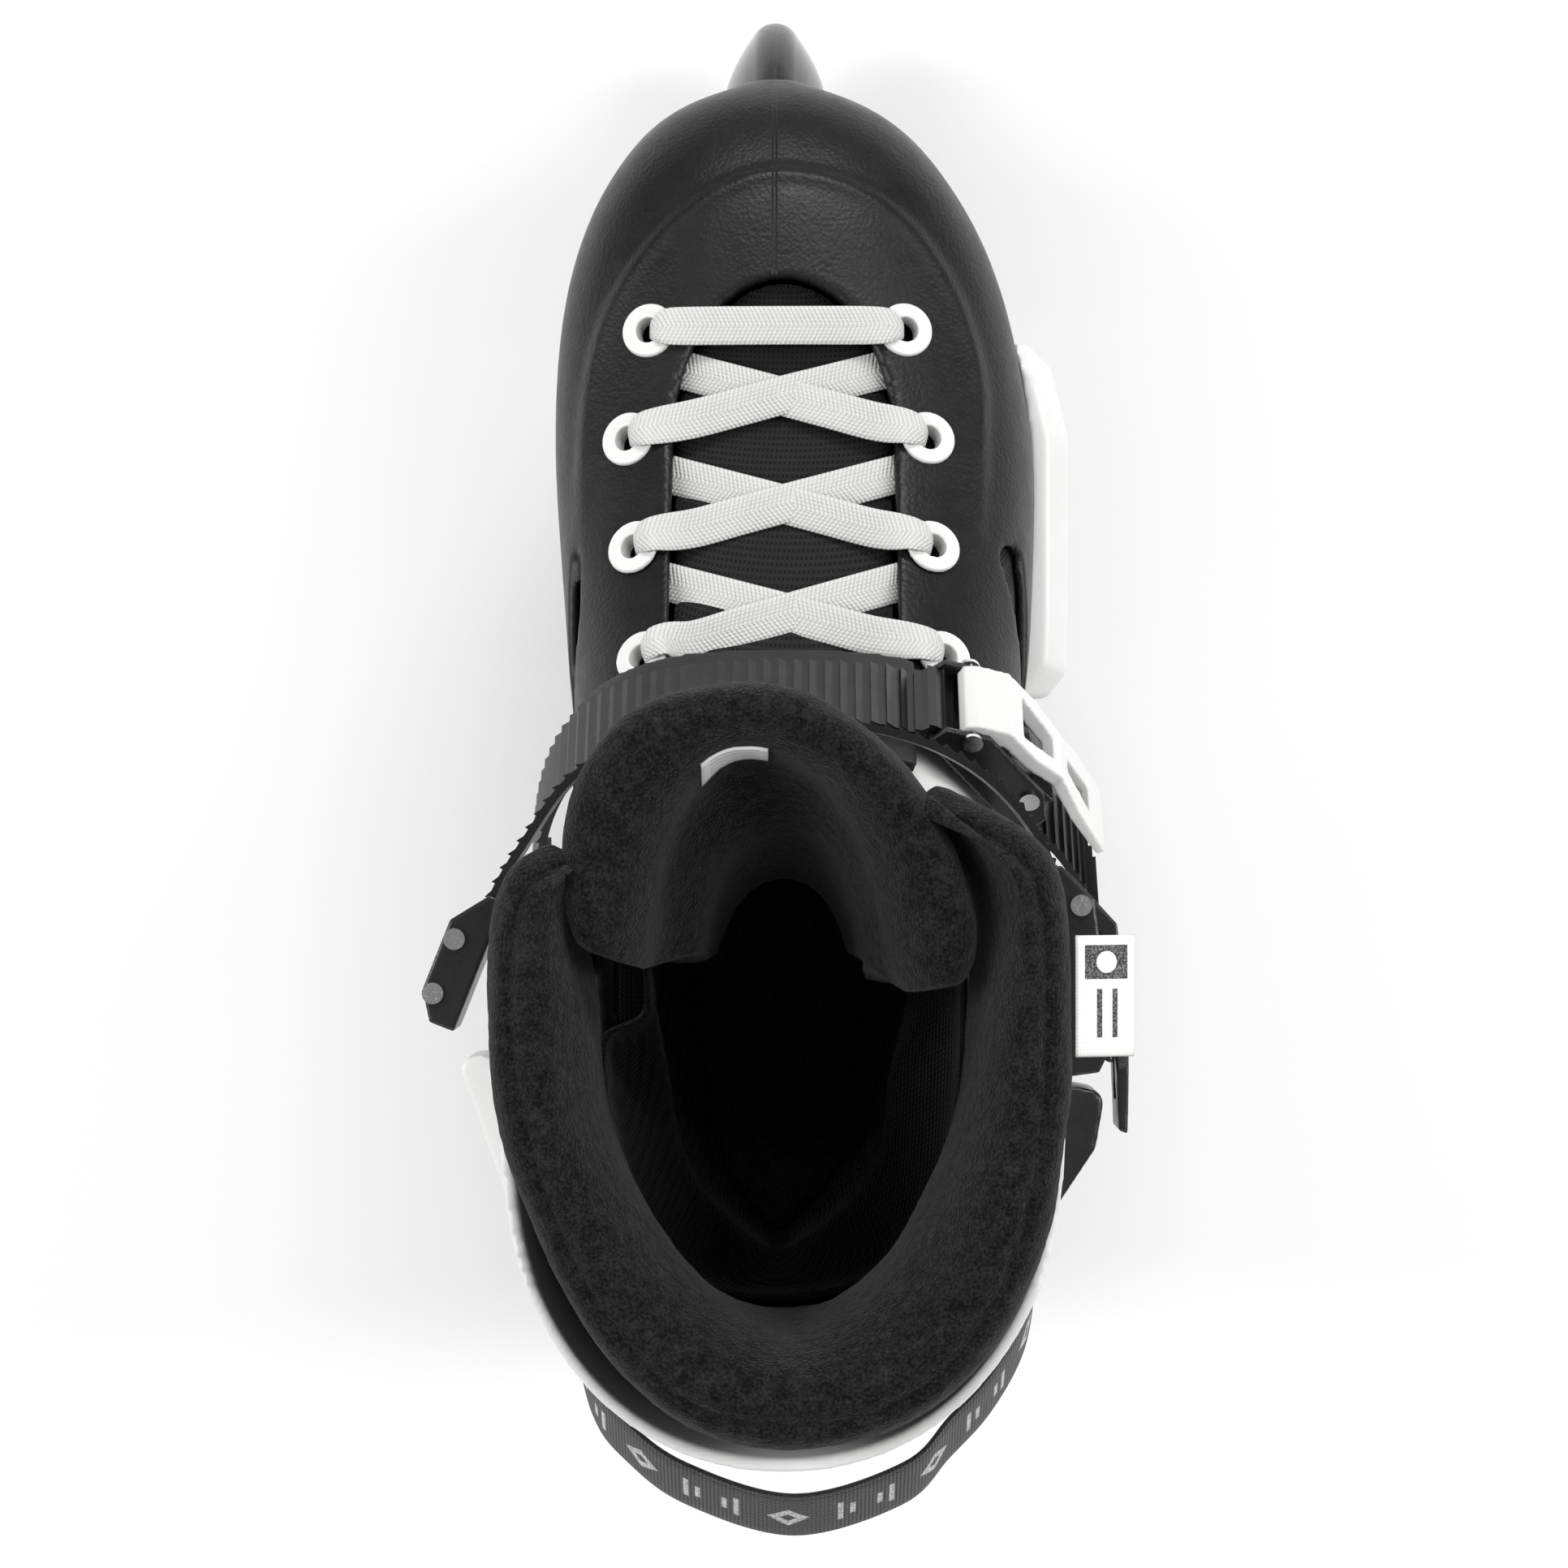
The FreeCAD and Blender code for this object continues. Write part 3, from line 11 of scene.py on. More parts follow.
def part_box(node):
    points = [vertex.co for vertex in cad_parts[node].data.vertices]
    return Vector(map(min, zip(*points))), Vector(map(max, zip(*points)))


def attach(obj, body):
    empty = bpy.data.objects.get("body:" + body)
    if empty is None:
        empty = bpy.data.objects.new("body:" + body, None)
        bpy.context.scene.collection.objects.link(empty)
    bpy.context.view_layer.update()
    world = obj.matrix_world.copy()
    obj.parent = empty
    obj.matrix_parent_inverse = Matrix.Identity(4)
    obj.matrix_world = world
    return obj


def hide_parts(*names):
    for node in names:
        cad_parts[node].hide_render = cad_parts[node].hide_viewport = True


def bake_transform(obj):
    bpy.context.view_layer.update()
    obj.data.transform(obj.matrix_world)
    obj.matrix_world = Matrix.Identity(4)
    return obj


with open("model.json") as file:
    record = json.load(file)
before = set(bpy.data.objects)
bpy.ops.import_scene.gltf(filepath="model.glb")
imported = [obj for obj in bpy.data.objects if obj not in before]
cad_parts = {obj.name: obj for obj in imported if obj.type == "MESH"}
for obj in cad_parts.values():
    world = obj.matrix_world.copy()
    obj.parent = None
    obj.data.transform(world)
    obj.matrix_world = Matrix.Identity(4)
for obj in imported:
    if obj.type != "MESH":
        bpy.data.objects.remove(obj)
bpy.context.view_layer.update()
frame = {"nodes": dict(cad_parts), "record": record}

MM = 0.001
nodes = frame["nodes"]
slot_of = {part["node"]: part["material_slot"] for part in frame["record"]["subparts"]}
body_of = {node: body for body, members in frame["record"]["behaviour"]["bodies"].items() for node in members}
scene = bpy.context.scene

# ------------------------------------------------------------------ camera and light
CAMERA_PLACE = (0.0022, -0.014, 1.5)  # straight above the skate, toe up in the picture
CAMERA_LENS = 133.3

camera = bpy.data.objects.new("camera", bpy.data.cameras.new("camera"))
scene.collection.objects.link(camera)
camera.location = CAMERA_PLACE
camera.data.lens = CAMERA_LENS
camera.data.sensor_width = 36
scene.camera = camera
scene.view_settings.view_transform = "Standard"


def area_light(name, place, aim, size, power):
    light = bpy.data.lights.new(name, "AREA")
    light.shape = "RECTANGLE"
    light.size, light.size_y = size
    light.energy = power
    lamp = bpy.data.objects.new(name, light)
    lamp.location = place
    lamp.rotation_euler = (Vector(aim) - Vector(place)).to_track_quat("-Z", "Y").to_euler()
    scene.collection.objects.link(lamp)


area_light("left_softbox", (-1.2, 0.1, 1.1), (0, 0, 0.1), (0.5, 1.4), 15)
area_light("right_softbox", (1.2, 0.2, 1.2), (0, 0, 0.1), (0.5, 1.4), 16)
area_light("toe_softbox", (0.15, 1.3, 1.3), (0, 0, 0.1), (1.0, 0.4), 15)
area_light("heel_softbox", (-0.1, -1.4, 1.5), (0, 0, 0.15), (1.2, 0.5), 9)

world = bpy.data.worlds.new("studio")
scene.world = world
world.use_nodes = True
world.node_tree.nodes["Background"].inputs["Color"].default_value = (1, 1, 1, 1)
world.node_tree.nodes["Background"].inputs["Strength"].default_value = 0.3


# ------------------------------------------------------------------ materials
class Look:
    """A node material: one Principled shader and the textures that feed it, in the piece's own metres."""

    def __init__(self, name, colour, roughness, **sockets):
        self.material = bpy.data.materials.new(name)
        self.material.use_nodes = True
        self.tree = self.material.node_tree
        self.shader = self.tree.nodes["Principled BSDF"]
        self.shader.inputs["Base Color"].default_value = (*colour, 1)
        self.shader.inputs["Roughness"].default_value = roughness
        for socket, value in sockets.items():
            self.shader.inputs[socket.replace("_", " ")].default_value = value
        self.place = self.node("ShaderNodeTexCoord").outputs
        self.normal = None

    def node(self, kind, **settings):
        made = self.tree.nodes.new(kind)
        for key, value in settings.items():
            setattr(made, key, value)
        return made

    def feed(self, socket, value):
        if isinstance(value, bpy.types.NodeSocket):
            self.tree.links.new(value, socket)
        else:
            socket.default_value = value

    def sum(self, operation, a, b=0.0, c=0.0):
        made = self.node("ShaderNodeMath", operation=operation)
        for socket, value in zip(made.inputs, (a, b, c)):
            self.feed(socket, value)
        return made.outputs[0]

    def grain(self, scale, detail=3.0, coords=None):
        made = self.node("ShaderNodeTexNoise")
        made.inputs["Scale"].default_value = scale
        made.inputs["Detail"].default_value = detail
        self.feed(made.inputs["Vector"], coords or self.place["Object"])
        return made.outputs["Fac"]

    def pebbles(self, scale):
        made = self.node("ShaderNodeTexVoronoi", feature="SMOOTH_F1")
        made.inputs["Scale"].default_value = scale
        self.feed(made.inputs["Vector"], self.place["Object"])
        return made.outputs["Distance"]

    def axes(self, coords=None):
        made = self.node("ShaderNodeSeparateXYZ")
        self.feed(made.inputs[0], coords or self.place["Object"])
        return made.outputs

    def between(self, value, low, high, to_low=0.0, to_high=1.0, smooth=False):
        made = self.node("ShaderNodeMapRange")
        if smooth:
            made.interpolation_type = "SMOOTHSTEP"
        for socket, number in zip(made.inputs, (value, low, high, to_low, to_high)):
            self.feed(socket, number)
        return made.outputs[0]

    def ripple(self, value, pitch):
        """A wave from 0 to 1 along a length in metres, one per pitch."""
        turns = self.sum("MULTIPLY", value, 2 * math.pi / pitch)
        return self.sum("MULTIPLY_ADD", self.sum("SINE", turns), 0.5, 0.5)

    def colours(self, factor, *stops):
        ramp = self.node("ShaderNodeValToRGB")
        ramp.color_ramp.elements[0].position, ramp.color_ramp.elements[1].position = stops[0][0], stops[-1][0]
        for place, _ in stops[1:-1]:
            ramp.color_ramp.elements.new(place)
        for element, (_, colour) in zip(ramp.color_ramp.elements, stops):
            element.color = (*colour, 1)
        self.feed(ramp.inputs[0], factor)
        self.tree.links.new(ramp.outputs[0], self.shader.inputs["Base Color"])
        return ramp.outputs[0]

    def blend_colour(self, factor, a, b):
        mix = self.node("ShaderNodeMix", data_type="RGBA")
        self.feed(mix.inputs["Factor"], factor)
        for socket, value in ((mix.inputs["A"], a), (mix.inputs["B"], b)):
            self.feed(socket, value if isinstance(value, bpy.types.NodeSocket) else (*value, 1))
        self.tree.links.new(mix.outputs["Result"], self.shader.inputs["Base Color"])
        return mix.outputs["Result"]

    def rough(self, factor, low, high):
        self.tree.links.new(self.between(factor, 0.2, 0.8, low, high), self.shader.inputs["Roughness"])

    def bump(self, height, depth, strength=1.0):
        made = self.node("ShaderNodeBump")
        made.inputs["Distance"].default_value = depth
        made.inputs["Strength"].default_value = strength
        self.feed(made.inputs["Height"], height)
        if self.normal:
            self.tree.links.new(self.normal, made.inputs["Normal"])
        self.normal = made.outputs[0]
        self.tree.links.new(self.normal, self.shader.inputs["Normal"])


def grey(value):
    return (value, value, value * 1.02)


def moulded_black(name, dark, pale, rough_low, rough_high, pebble, depth):
    """Moulded black plastic: faint tone changes, a fine cast grain and scuffed patches."""
    look = Look(name, grey(dark), rough_low)
    look.colours(look.grain(45, 4), (0.35, grey(dark)), (0.7, grey(pale)))
    look.rough(look.grain(220, 4), rough_low, rough_high)
    look.bump(look.pebbles(pebble), depth)
    look.bump(look.grain(pebble * 2.4, 2), depth * 0.4)
    return look


def shell_look():
    look = moulded_black("shell_black", 0.0035, 0.0065, 0.34, 0.46, 1150, 0.00009)
    look.shader.inputs["Specular IOR Level"].default_value = 0.32
    x, y, _ = look.axes()
    offset = look.sum("ABSOLUTE", look.sum("SUBTRACT", x, 0.0))
    line = look.between(offset, 0.0002, 0.0007, 0.0, 1.0, True)
    front = look.between(y, 0.099, 0.101)
    seam = look.sum("MAXIMUM", line, look.sum("SUBTRACT", 1.0, front))
    look.bump(seam, 0.00025)
    return look.material


def white_plastic(name, tone, rough_low, rough_high, grain=700):
    look = Look(name, (tone, tone, tone * 0.99), rough_low, Coat_Weight=0.15, Coat_Roughness=0.25)
    look.colours(look.grain(30, 4), (0.3, (tone * 0.955, tone * 0.955, tone * 0.94)),
                 (0.7, (tone, tone, tone * 0.995)))
    look.rough(look.grain(160, 3), rough_low, rough_high)
    look.bump(look.grain(grain, 3), 0.00005)
    return look.material


def fleece(name, dark, pale, depth=0.0006):
    """Brushed pile: tufts of a millimetre over softer clumps, with a dusty sheen."""
    look = Look(name, grey(dark), 0.95, Sheen_Weight=0.1, Sheen_Roughness=0.4, Specular_IOR_Level=0.1)
    tufts = look.grain(1500, 5)
    clumps = look.grain(330, 3)
    pile = look.sum("MULTIPLY_ADD", tufts, 0.65, look.sum("MULTIPLY", clumps, 0.35))
    look.colours(pile, (0.40, grey(dark)), (0.54, grey((dark + pale) / 2)), (0.66, grey(pale)))
    look.bump(clumps, depth * 1.6, 0.6)
    look.bump(tufts, depth)
    return look.material


def woven(name, dark, pale, pitch=0.0011):
    """Plain weave of round yarns in two directions."""
    look = Look(name, grey(dark), 0.85, Sheen_Weight=0.15, Specular_IOR_Level=0.2)
    x, y, z = look.axes()
    across = look.ripple(look.sum("ADD", x, look.sum("MULTIPLY", z, 0.35)), pitch)
    along = look.ripple(look.sum("ADD", y, look.sum("MULTIPLY", z, 0.65)), pitch)
    height = look.sum("MAXIMUM", across, along)
    dirt = look.grain(90, 4)
    # Colour follows the weave height: yarn crowns pale and the gaps between the yarns dark, which is painted
    # shade between the yarns, times a random dirt tone.
    look.colours(look.sum("MULTIPLY", height, look.between(dirt, 0.2, 0.8, 0.7, 1.0)),
                 (0.2, grey(dark)), (0.95, grey(pale)))
    look.bump(height, pitch * 0.25)
    look.bump(look.grain(2600, 2), 0.0001)
    return look.material


def braid(name, tone):
    """Flat tubular braid in UV space: herringbone ribs from both edges, u across and v along in metres."""
    look = Look(name, (tone, tone, tone * 0.985), 0.8, Sheen_Weight=0.25, Specular_IOR_Level=0.25)
    u, v, _ = look.axes(look.place["UV"])
    from_middle = look.sum("ABSOLUTE", look.sum("SUBTRACT", u, 0.5))
    slant = look.sum("MULTIPLY_ADD", from_middle, 0.0042, v)
    ribs = look.ripple(slant, 0.00105)
    lines = look.ripple(from_middle, 0.093)
    height = look.sum("MULTIPLY", look.sum("POWER", ribs, 0.6), look.between(lines, 0, 1, 0.55, 1.0))
    # Colour follows the rib height: painted shade in the dips between the ribs, times a random tone.
    shade = look.sum("MULTIPLY", look.between(height, 0.0, 0.8, 0.6, 1.0),
                     look.between(look.grain(120, 4), 0.3, 0.7, 0.93, 1.0))
    look.colours(shade, (0.45, (tone * 0.66, tone * 0.66, tone * 0.65)),
                 (0.8, (tone * 0.92, tone * 0.92, tone * 0.905)), (1.0, (tone, tone, tone * 0.985)))
    look.bump(height, 0.0003)
    look.bump(look.grain(3500, 2), 0.00008)
    return look.material


def webbing():
    """Black jacquard webbing with a generic woven bar-and-diamond pattern; u across, v along in metres."""
    look = Look("webbing_black", grey(0.012), 0.9, Sheen_Weight=0.3, Specular_IOR_Level=0.2)
    u, v, _ = look.axes(look.place["UV"])
    across = look.ripple(v, 0.0009)
    warp = look.ripple(u, 0.045)
    height = look.sum("MULTIPLY", across, look.between(warp, 0, 1, 0.6, 1.0))
    middle = look.sum("ABSOLUTE", look.sum("SUBTRACT", u, 0.5))
    edge = look.between(middle, 0.44, 0.47)
    repeats = look.sum("MULTIPLY", v, 1 / 0.034)
    cell = look.sum("ABSOLUTE", look.sum("SUBTRACT", look.sum("FRACT", repeats), 0.5))
    from_centre = look.sum("ADD", look.sum("MULTIPLY", cell, 3.2), look.sum("MULTIPLY", middle, 2.2))
    diamond = look.sum("LESS_THAN", from_centre, 0.42)
    hollow = look.sum("LESS_THAN", from_centre, 0.17)
    long_bars = look.sum("MULTIPLY", look.sum("LESS_THAN", middle, 0.2), look.sum("COMPARE", cell, 0.33, 0.018))
    short_bars = look.sum("MULTIPLY", look.sum("LESS_THAN", middle, 0.12),
                          look.sum("COMPARE", cell, 0.41, 0.018))
    bars = look.sum("MAXIMUM", long_bars, short_bars)
    figure = look.sum("MAXIMUM", look.sum("SUBTRACT", diamond, hollow), bars)
    worn = look.between(look.grain(1600, 4), 0.42, 0.58, 0.55, 1.0)
    tone = look.sum("MULTIPLY", figure, worn)
    look.colours(look.sum("MAXIMUM", tone, look.sum("MULTIPLY", look.grain(1900, 3), 0.22)),
                 (0.08, grey(0.006)), (0.2, grey(0.02)), (0.5, grey(0.3)), (1.0, grey(0.66)))
    look.bump(height, 0.00022)
    look.bump(look.grain(2200, 3), 0.00025)
    look.bump(edge, 0.0002)
    return look.material


def label(name, paper):
    """Small woven label with a generic block, a disc and two bars; u across, v along, both 0 to 1."""
    look = Look(name, (paper, paper, paper * 0.98), 0.75, Sheen_Weight=0.2)
    u, v, _ = look.axes(look.place["UV"])
    inside = look.sum("MULTIPLY", look.sum("COMPARE", u, 0.5, 0.36), look.sum("COMPARE", v, 0.78, 0.14))
    du, dv = look.sum("SUBTRACT", u, 0.5), look.sum("MULTIPLY", look.sum("SUBTRACT", v, 0.78), 1.9)
    squares = look.sum("ADD", look.sum("POWER", du, 2.0), look.sum("POWER", dv, 2.0))
    disc = look.sum("LESS_THAN", look.sum("SQRT", squares), 0.17)
    two_bars = look.sum("MAXIMUM", look.sum("COMPARE", u, 0.36, 0.045), look.sum("COMPARE", u, 0.62, 0.045))
    bars = look.sum("MULTIPLY", look.sum("COMPARE", v, 0.36, 0.2), two_bars)
    ink = look.sum("MAXIMUM", look.sum("SUBTRACT", inside, look.sum("MULTIPLY", disc, inside)), bars)
    look.blend_colour(look.sum("MULTIPLY", ink, look.between(look.grain(2500, 3), 0.4, 0.55, 0.8, 1.0)),
                      (paper, paper, paper * 0.98), grey(0.015))
    look.bump(look.sum("MAXIMUM", look.ripple(u, 0.05), look.ripple(v, 0.03)), 0.00008)
    return look.material


def steel(name, tone, roughness):
    look = Look(name, grey(tone), roughness, Metallic=1.0)
    x, y, z = look.axes()
    stretched = look.node("ShaderNodeCombineXYZ")
    for socket, value in zip(stretched.inputs, (look.sum("MULTIPLY", x, 14.0), y, z)):
        look.feed(socket, value)
    brushed = look.grain(900, 3, stretched.outputs[0])
    look.colours(brushed, (0.3, grey(tone * 0.82)), (0.7, grey(tone)))
    look.rough(brushed, roughness * 0.8, roughness * 1.3)
    look.bump(brushed, 0.00002)
    return look.material


def anodised():
    look = Look("frame_black", grey(0.02), 0.36, Metallic=0.55)
    look.colours(look.grain(60, 4), (0.3, grey(0.014)), (0.7, grey(0.028)))
    look.rough(look.grain(500, 4), 0.3, 0.46)
    look.bump(look.grain(2400, 2), 0.00002)
    return look.material


def tyre_rubber():
    """Cast polyurethane: glossy flanks and a duller band where it rolls."""
    look = Look("tyre_black", grey(0.012), 0.2, Coat_Weight=0.2, Coat_Roughness=0.12)
    x, _, _ = look.axes()
    tread = look.between(look.sum("ABSOLUTE", x), 0.0022, 0.0060, 1.0, 0.0, True)
    marks = look.grain(700, 5)
    look.colours(look.sum("MULTIPLY", tread, marks), (0.15, grey(0.009)), (0.6, grey(0.022)))
    dull = look.sum("MULTIPLY_ADD", look.sum("MULTIPLY", tread, marks), 0.32, 0.17)
    look.tree.links.new(dull, look.shader.inputs["Roughness"])
    look.bump(look.sum("MULTIPLY", tread, look.grain(1800, 4)), 0.0001)
    mould = look.between(look.sum("ABSOLUTE", x), 0.0001, 0.0004, 1.0, 0.0, True)
    look.bump(mould, 0.00012)
    return look.material


LOOKS = {
    "shell_black": shell_look(),
    "liner_fabric": woven("liner_fabric", 0.002, 0.014),
    "collar_fabric": fleece("collar_fabric", 0.0025, 0.023),
    "footbed_foam": fleece("footbed_foam", 0.012, 0.04, 0.0003),
    "cuff_white": white_plastic("cuff_white", 0.74, 0.34, 0.46),
    "slider_white": white_plastic("slider_white", 0.76, 0.3, 0.42),
    "eyelet_white": white_plastic("eyelet_white", 0.76, 0.16, 0.24, 400),
    "lever_white": white_plastic("lever_white", 0.70, 0.3, 0.4),
    "lace_white": braid("lace_white", 0.70),
    "tab_white": label("tab_white", 0.8),
    "webbing_black": webbing(),
    "steel": steel("steel", 0.55, 0.32),
    "pin_steel": steel("pin_steel", 0.72, 0.14),
    "bearing_steel": steel("bearing_steel", 0.65, 0.18),
    "shield": moulded_black("shield", 0.01, 0.02, 0.3, 0.4, 1500, 0.00002).material,
    "frame_black": anodised(),
    "bush_grey": moulded_black("bush_grey", 0.05, 0.08, 0.5, 0.6, 1500, 0.00003).material,
    "bolt_black": moulded_black("bolt_black", 0.01, 0.018, 0.3, 0.42, 1600, 0.00002).material,
    "pad_black": moulded_black("pad_black", 0.008, 0.017, 0.5, 0.68, 1400, 0.00008).material,
    "ladder_black": moulded_black("ladder_black", 0.0035, 0.007, 0.3, 0.42, 1800, 0.00003).material,
    "buckle_black": moulded_black("buckle_black", 0.008, 0.014, 0.24, 0.36, 1600, 0.00003).material,
    "tyre_black": tyre_rubber(),
    "hub_black": moulded_black("hub_black", 0.008, 0.014, 0.18, 0.28, 1200, 0.00003).material,
}
for name, node in nodes.items():
    for slot in node.material_slots:
        slot.material = LOOKS[slot_of[name]]


def floor():
    look = Look("floor", (0.9, 0.9, 0.9), 0.9, Specular_IOR_Level=0.1)
    look.rough(look.grain(3, 2), 0.85, 0.95)
    mesh = bpy.data.meshes.new("floor")
    half = 3.0
    corners = [(-half, -half, 0), (half, -half, 0), (half, half, 0), (-half, half, 0)]
    mesh.from_pydata(corners, [], [(0, 1, 2, 3)])
    mesh.materials.append(look.material)
    ground = bpy.data.objects.new("floor", mesh)
    scene.collection.objects.link(ground)


floor()


# ------------------------------------------------------------------ mesh helpers
def add_piece(name, mesh, slot, body=None):
    mesh.materials.clear()
    mesh.materials.append(LOOKS[slot])
    mesh.shade_smooth()
    piece = bpy.data.objects.new(name, mesh)
    scene.collection.objects.link(piece)
    if body:
        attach(piece, body)
    return piece


def settle(piece):
    """Makes what a piece's modifiers give its own mesh."""
    graph = bpy.context.evaluated_depsgraph_get()
    mesh = bpy.data.meshes.new_from_object(piece.evaluated_get(graph))
    piece.modifiers.clear()
    piece.data = mesh
    mesh.shade_smooth()


def points_of(mesh):
    flat = np.empty(len(mesh.vertices) * 3)
    mesh.vertices.foreach_get("co", flat)
    return flat.reshape(-1, 3)


def normals_of(mesh):
    flat = np.empty(len(mesh.vertices) * 3)
    mesh.vertices.foreach_get("normal", flat)
    return flat.reshape(-1, 3)


def set_points(mesh, points):
    mesh.vertices.foreach_set("co", points.ravel())
    mesh.update()


def moulded(sources, voxel, smooth, shape=None):
    """One piece over CAD nodes, remeshed at voxel millimetres so that its edges round off as on a moulding.

    shape moves the points: it takes them and their normals, in millimetres, and gives the new points.
    """
    work = bmesh.new()
    for source in sources:
        work.from_mesh(nodes[source].data)
    bmesh.ops.remove_doubles(work, verts=work.verts, dist=1e-6)
    mesh = bpy.data.meshes.new(sources[0] + "_skin")
    work.to_mesh(mesh)
    work.free()
    piece = add_piece(mesh.name, mesh, slot_of[sources[0]])
    remesh = piece.modifiers.new("remesh", "REMESH")
    remesh.mode = "VOXEL"
    remesh.voxel_size = voxel * MM
    relax = piece.modifiers.new("relax", "SMOOTH")
    relax.factor = 0.5
    relax.iterations = smooth
    settle(piece)
    if shape:
        moved = shape(points_of(piece.data) / MM, normals_of(piece.data))
        set_points(piece.data, moved * MM)
    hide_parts(*sources)
    if body_of[sources[0]]:
        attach(piece, body_of[sources[0]])
    return piece


def tree_of(*pieces):
    """A search tree over several meshes at once."""
    verts, faces = [], []
    for piece in pieces:
        start = len(verts)
        verts += [v.co.copy() for v in piece.data.vertices]
        faces += [[start + i for i in face.vertices] for face in piece.data.polygons]
    return BVHTree.FromPolygons(verts, faces)


def unit(vectors):
    vectors = np.asarray(vectors, float)
    return vectors / np.maximum(np.linalg.norm(vectors, axis=-1, keepdims=True), 1e-12)


def through(points, step):
    """A smooth run through points, sampled about every step."""
    points = np.asarray(points, float)
    padded = np.vstack([2 * points[0] - points[1], points, 2 * points[-1] - points[-2]])
    run = []
    for a, b, c, d in zip(padded, padded[1:], padded[2:], padded[3:]):
        count = max(2, int(np.linalg.norm(c - b) / step))
        for t in np.arange(count) / count:
            run.append(0.5 * (2 * b + (c - a) * t + (2 * a - 5 * b + 4 * c - d) * t * t
                              + (3 * b - a - 3 * c + d) * t ** 3))
    run.append(points[-1])
    return np.array(run)


def ribbon(name, centre, across, widths, thick, slot, body, edge=6.0):
    """Flat band with rounded edges along centre. UV u runs across from 0 to 1, v along in metres."""
    centre, across = np.asarray(centre, float), unit(across)
    count = len(centre)
    widths = np.broadcast_to(widths, (count,))
    thicks = np.broadcast_to(thick, (count,))
    up = unit(np.cross(across, np.gradient(centre, axis=0)))
    length = np.concatenate([[0], np.cumsum(np.linalg.norm(np.diff(centre, axis=0), axis=1))])
    side = np.cos(np.linspace(math.pi, 0, 11))
    shares = np.concatenate([side, side[::-1][1:-1]])
    faces_up = np.concatenate([np.ones(11), -np.ones(9)])
    rise = (1 - np.abs(shares) ** edge) ** 0.5 * faces_up
    verts, uvs = [], []
    for i in range(count):
        for s, h in zip(shares, rise):
            verts.append(centre[i] + across[i] * s * widths[i] / 2 + up[i] * h * thicks[i] / 2)
            uvs.append((s / 2 + 0.5, length[i]))
    around = len(shares)
    faces = []
    for i in range(count - 1):
        for j in range(around):
            k = (j + 1) % around
            faces.append((i * around + j, (i + 1) * around + j, (i + 1) * around + k, i * around + k))
    faces += [tuple(range(around)), tuple(range(count * around - 1, (count - 1) * around - 1, -1))]
    mesh = bpy.data.meshes.new(name)
    mesh.from_pydata([tuple(v) for v in verts], [], faces)
    layer = mesh.uv_layers.new(name="UVMap")
    for loop in mesh.loops:
        layer.data[loop.index].uv = uvs[loop.vertex_index]
    work = bmesh.new()
    work.from_mesh(mesh)
    bmesh.ops.recalc_face_normals(work, faces=work.faces)
    work.to_mesh(mesh)
    work.free()
    return add_piece(name, mesh, slot, body)


def stitches(name, path, normals, slot, body, pitch=2.6, length=1.9, radius=0.28):
    """A row of thread stitches along a run of points in millimetres, half sunk in the cloth."""
    path, normals = np.asarray(path, float), unit(normals)
    gaps = np.linalg.norm(np.diff(path, axis=0), axis=1)
    along = np.concatenate([[0], np.cumsum(gaps)])
    verts, faces = [], []
    for start in np.arange(0, along[-1] - length, pitch):
        ends = [np.array([np.interp(start + length * t, along, path[:, a]) for a in range(3)])
                for t in (0, 0.15, 0.5, 0.85, 1)]
        normal = unit([np.interp(start + length / 2, along, normals[:, a]) for a in range(3)])
        run = unit(ends[-1] - ends[0])
        wide = np.cross(run, normal)
        first = len(verts)
        for point, size, sink in zip(ends, (0.35, 0.9, 1, 0.9, 0.35), (-0.35, 0.02, 0.12, 0.02, -0.35)):
            for k in range(6):
                angle = math.pi * k / 3
                around = wide * math.cos(angle) + normal * (math.sin(angle) + sink * 2)
                verts.append(point + around * radius * size)
        for i in range(4):
            for k in range(6):
                n = (k + 1) % 6
                near, far = first + i * 6, first + i * 6 + 6
                faces.append((near + k, near + n, far + n, far + k))
        faces.append(tuple(first + 5 - k for k in range(6)))
        faces.append(tuple(first + 24 + k for k in range(6)))
    mesh = bpy.data.meshes.new(name)
    mesh.from_pydata([tuple(np.array(v) * MM) for v in verts], [], faces)
    return add_piece(name, mesh, slot, body)


# ------------------------------------------------------------------ boot shell
RIDGE = through([(-45, 40), (-44.5, 62), (-43, 80), (-38.5, 96), (-30, 110), (-18, 121.5), (-2, 128.5),
                 (15, 126.5), (30, 117.5), (41, 102), (47.5, 82), (48, 62), (47, 40)], 1.0)


def shape_shell(points, normals):
    """Raises the toe panel inside the moulded arc, with a rounded ridge along the arc itself."""
    high = (normals[:, 2] > 0.05) & (points[:, 1] > 30) & (points[:, 2] > 118)
    near = points[high][:, :2]
    gaps = np.full(len(near), 1e9)
    inside = np.zeros(len(near))
    for a, b in zip(RIDGE, RIDGE[1:]):
        away = near - a
        far = np.hypot(away[:, 0], away[:, 1])
        closer = far < gaps
        run = (b - a) / np.hypot(*(b - a))
        turn = run[0] * away[:, 1] - run[1] * away[:, 0]
        gaps[closer] = far[closer]
        inside[closer] = np.sign(-turn[closer])
    signed = gaps * inside
    fade = np.clip((near[:, 1] - 36) / 26, 0, 1)
    step = 0.75 / (1 + np.exp(-signed / 0.9))
    ridge = 0.75 * np.exp(-(signed / 2.0) ** 2)
    moved = points.copy()
    moved[high] += normals[high] * ((step + ridge) * fade)[:, None]
    return moved


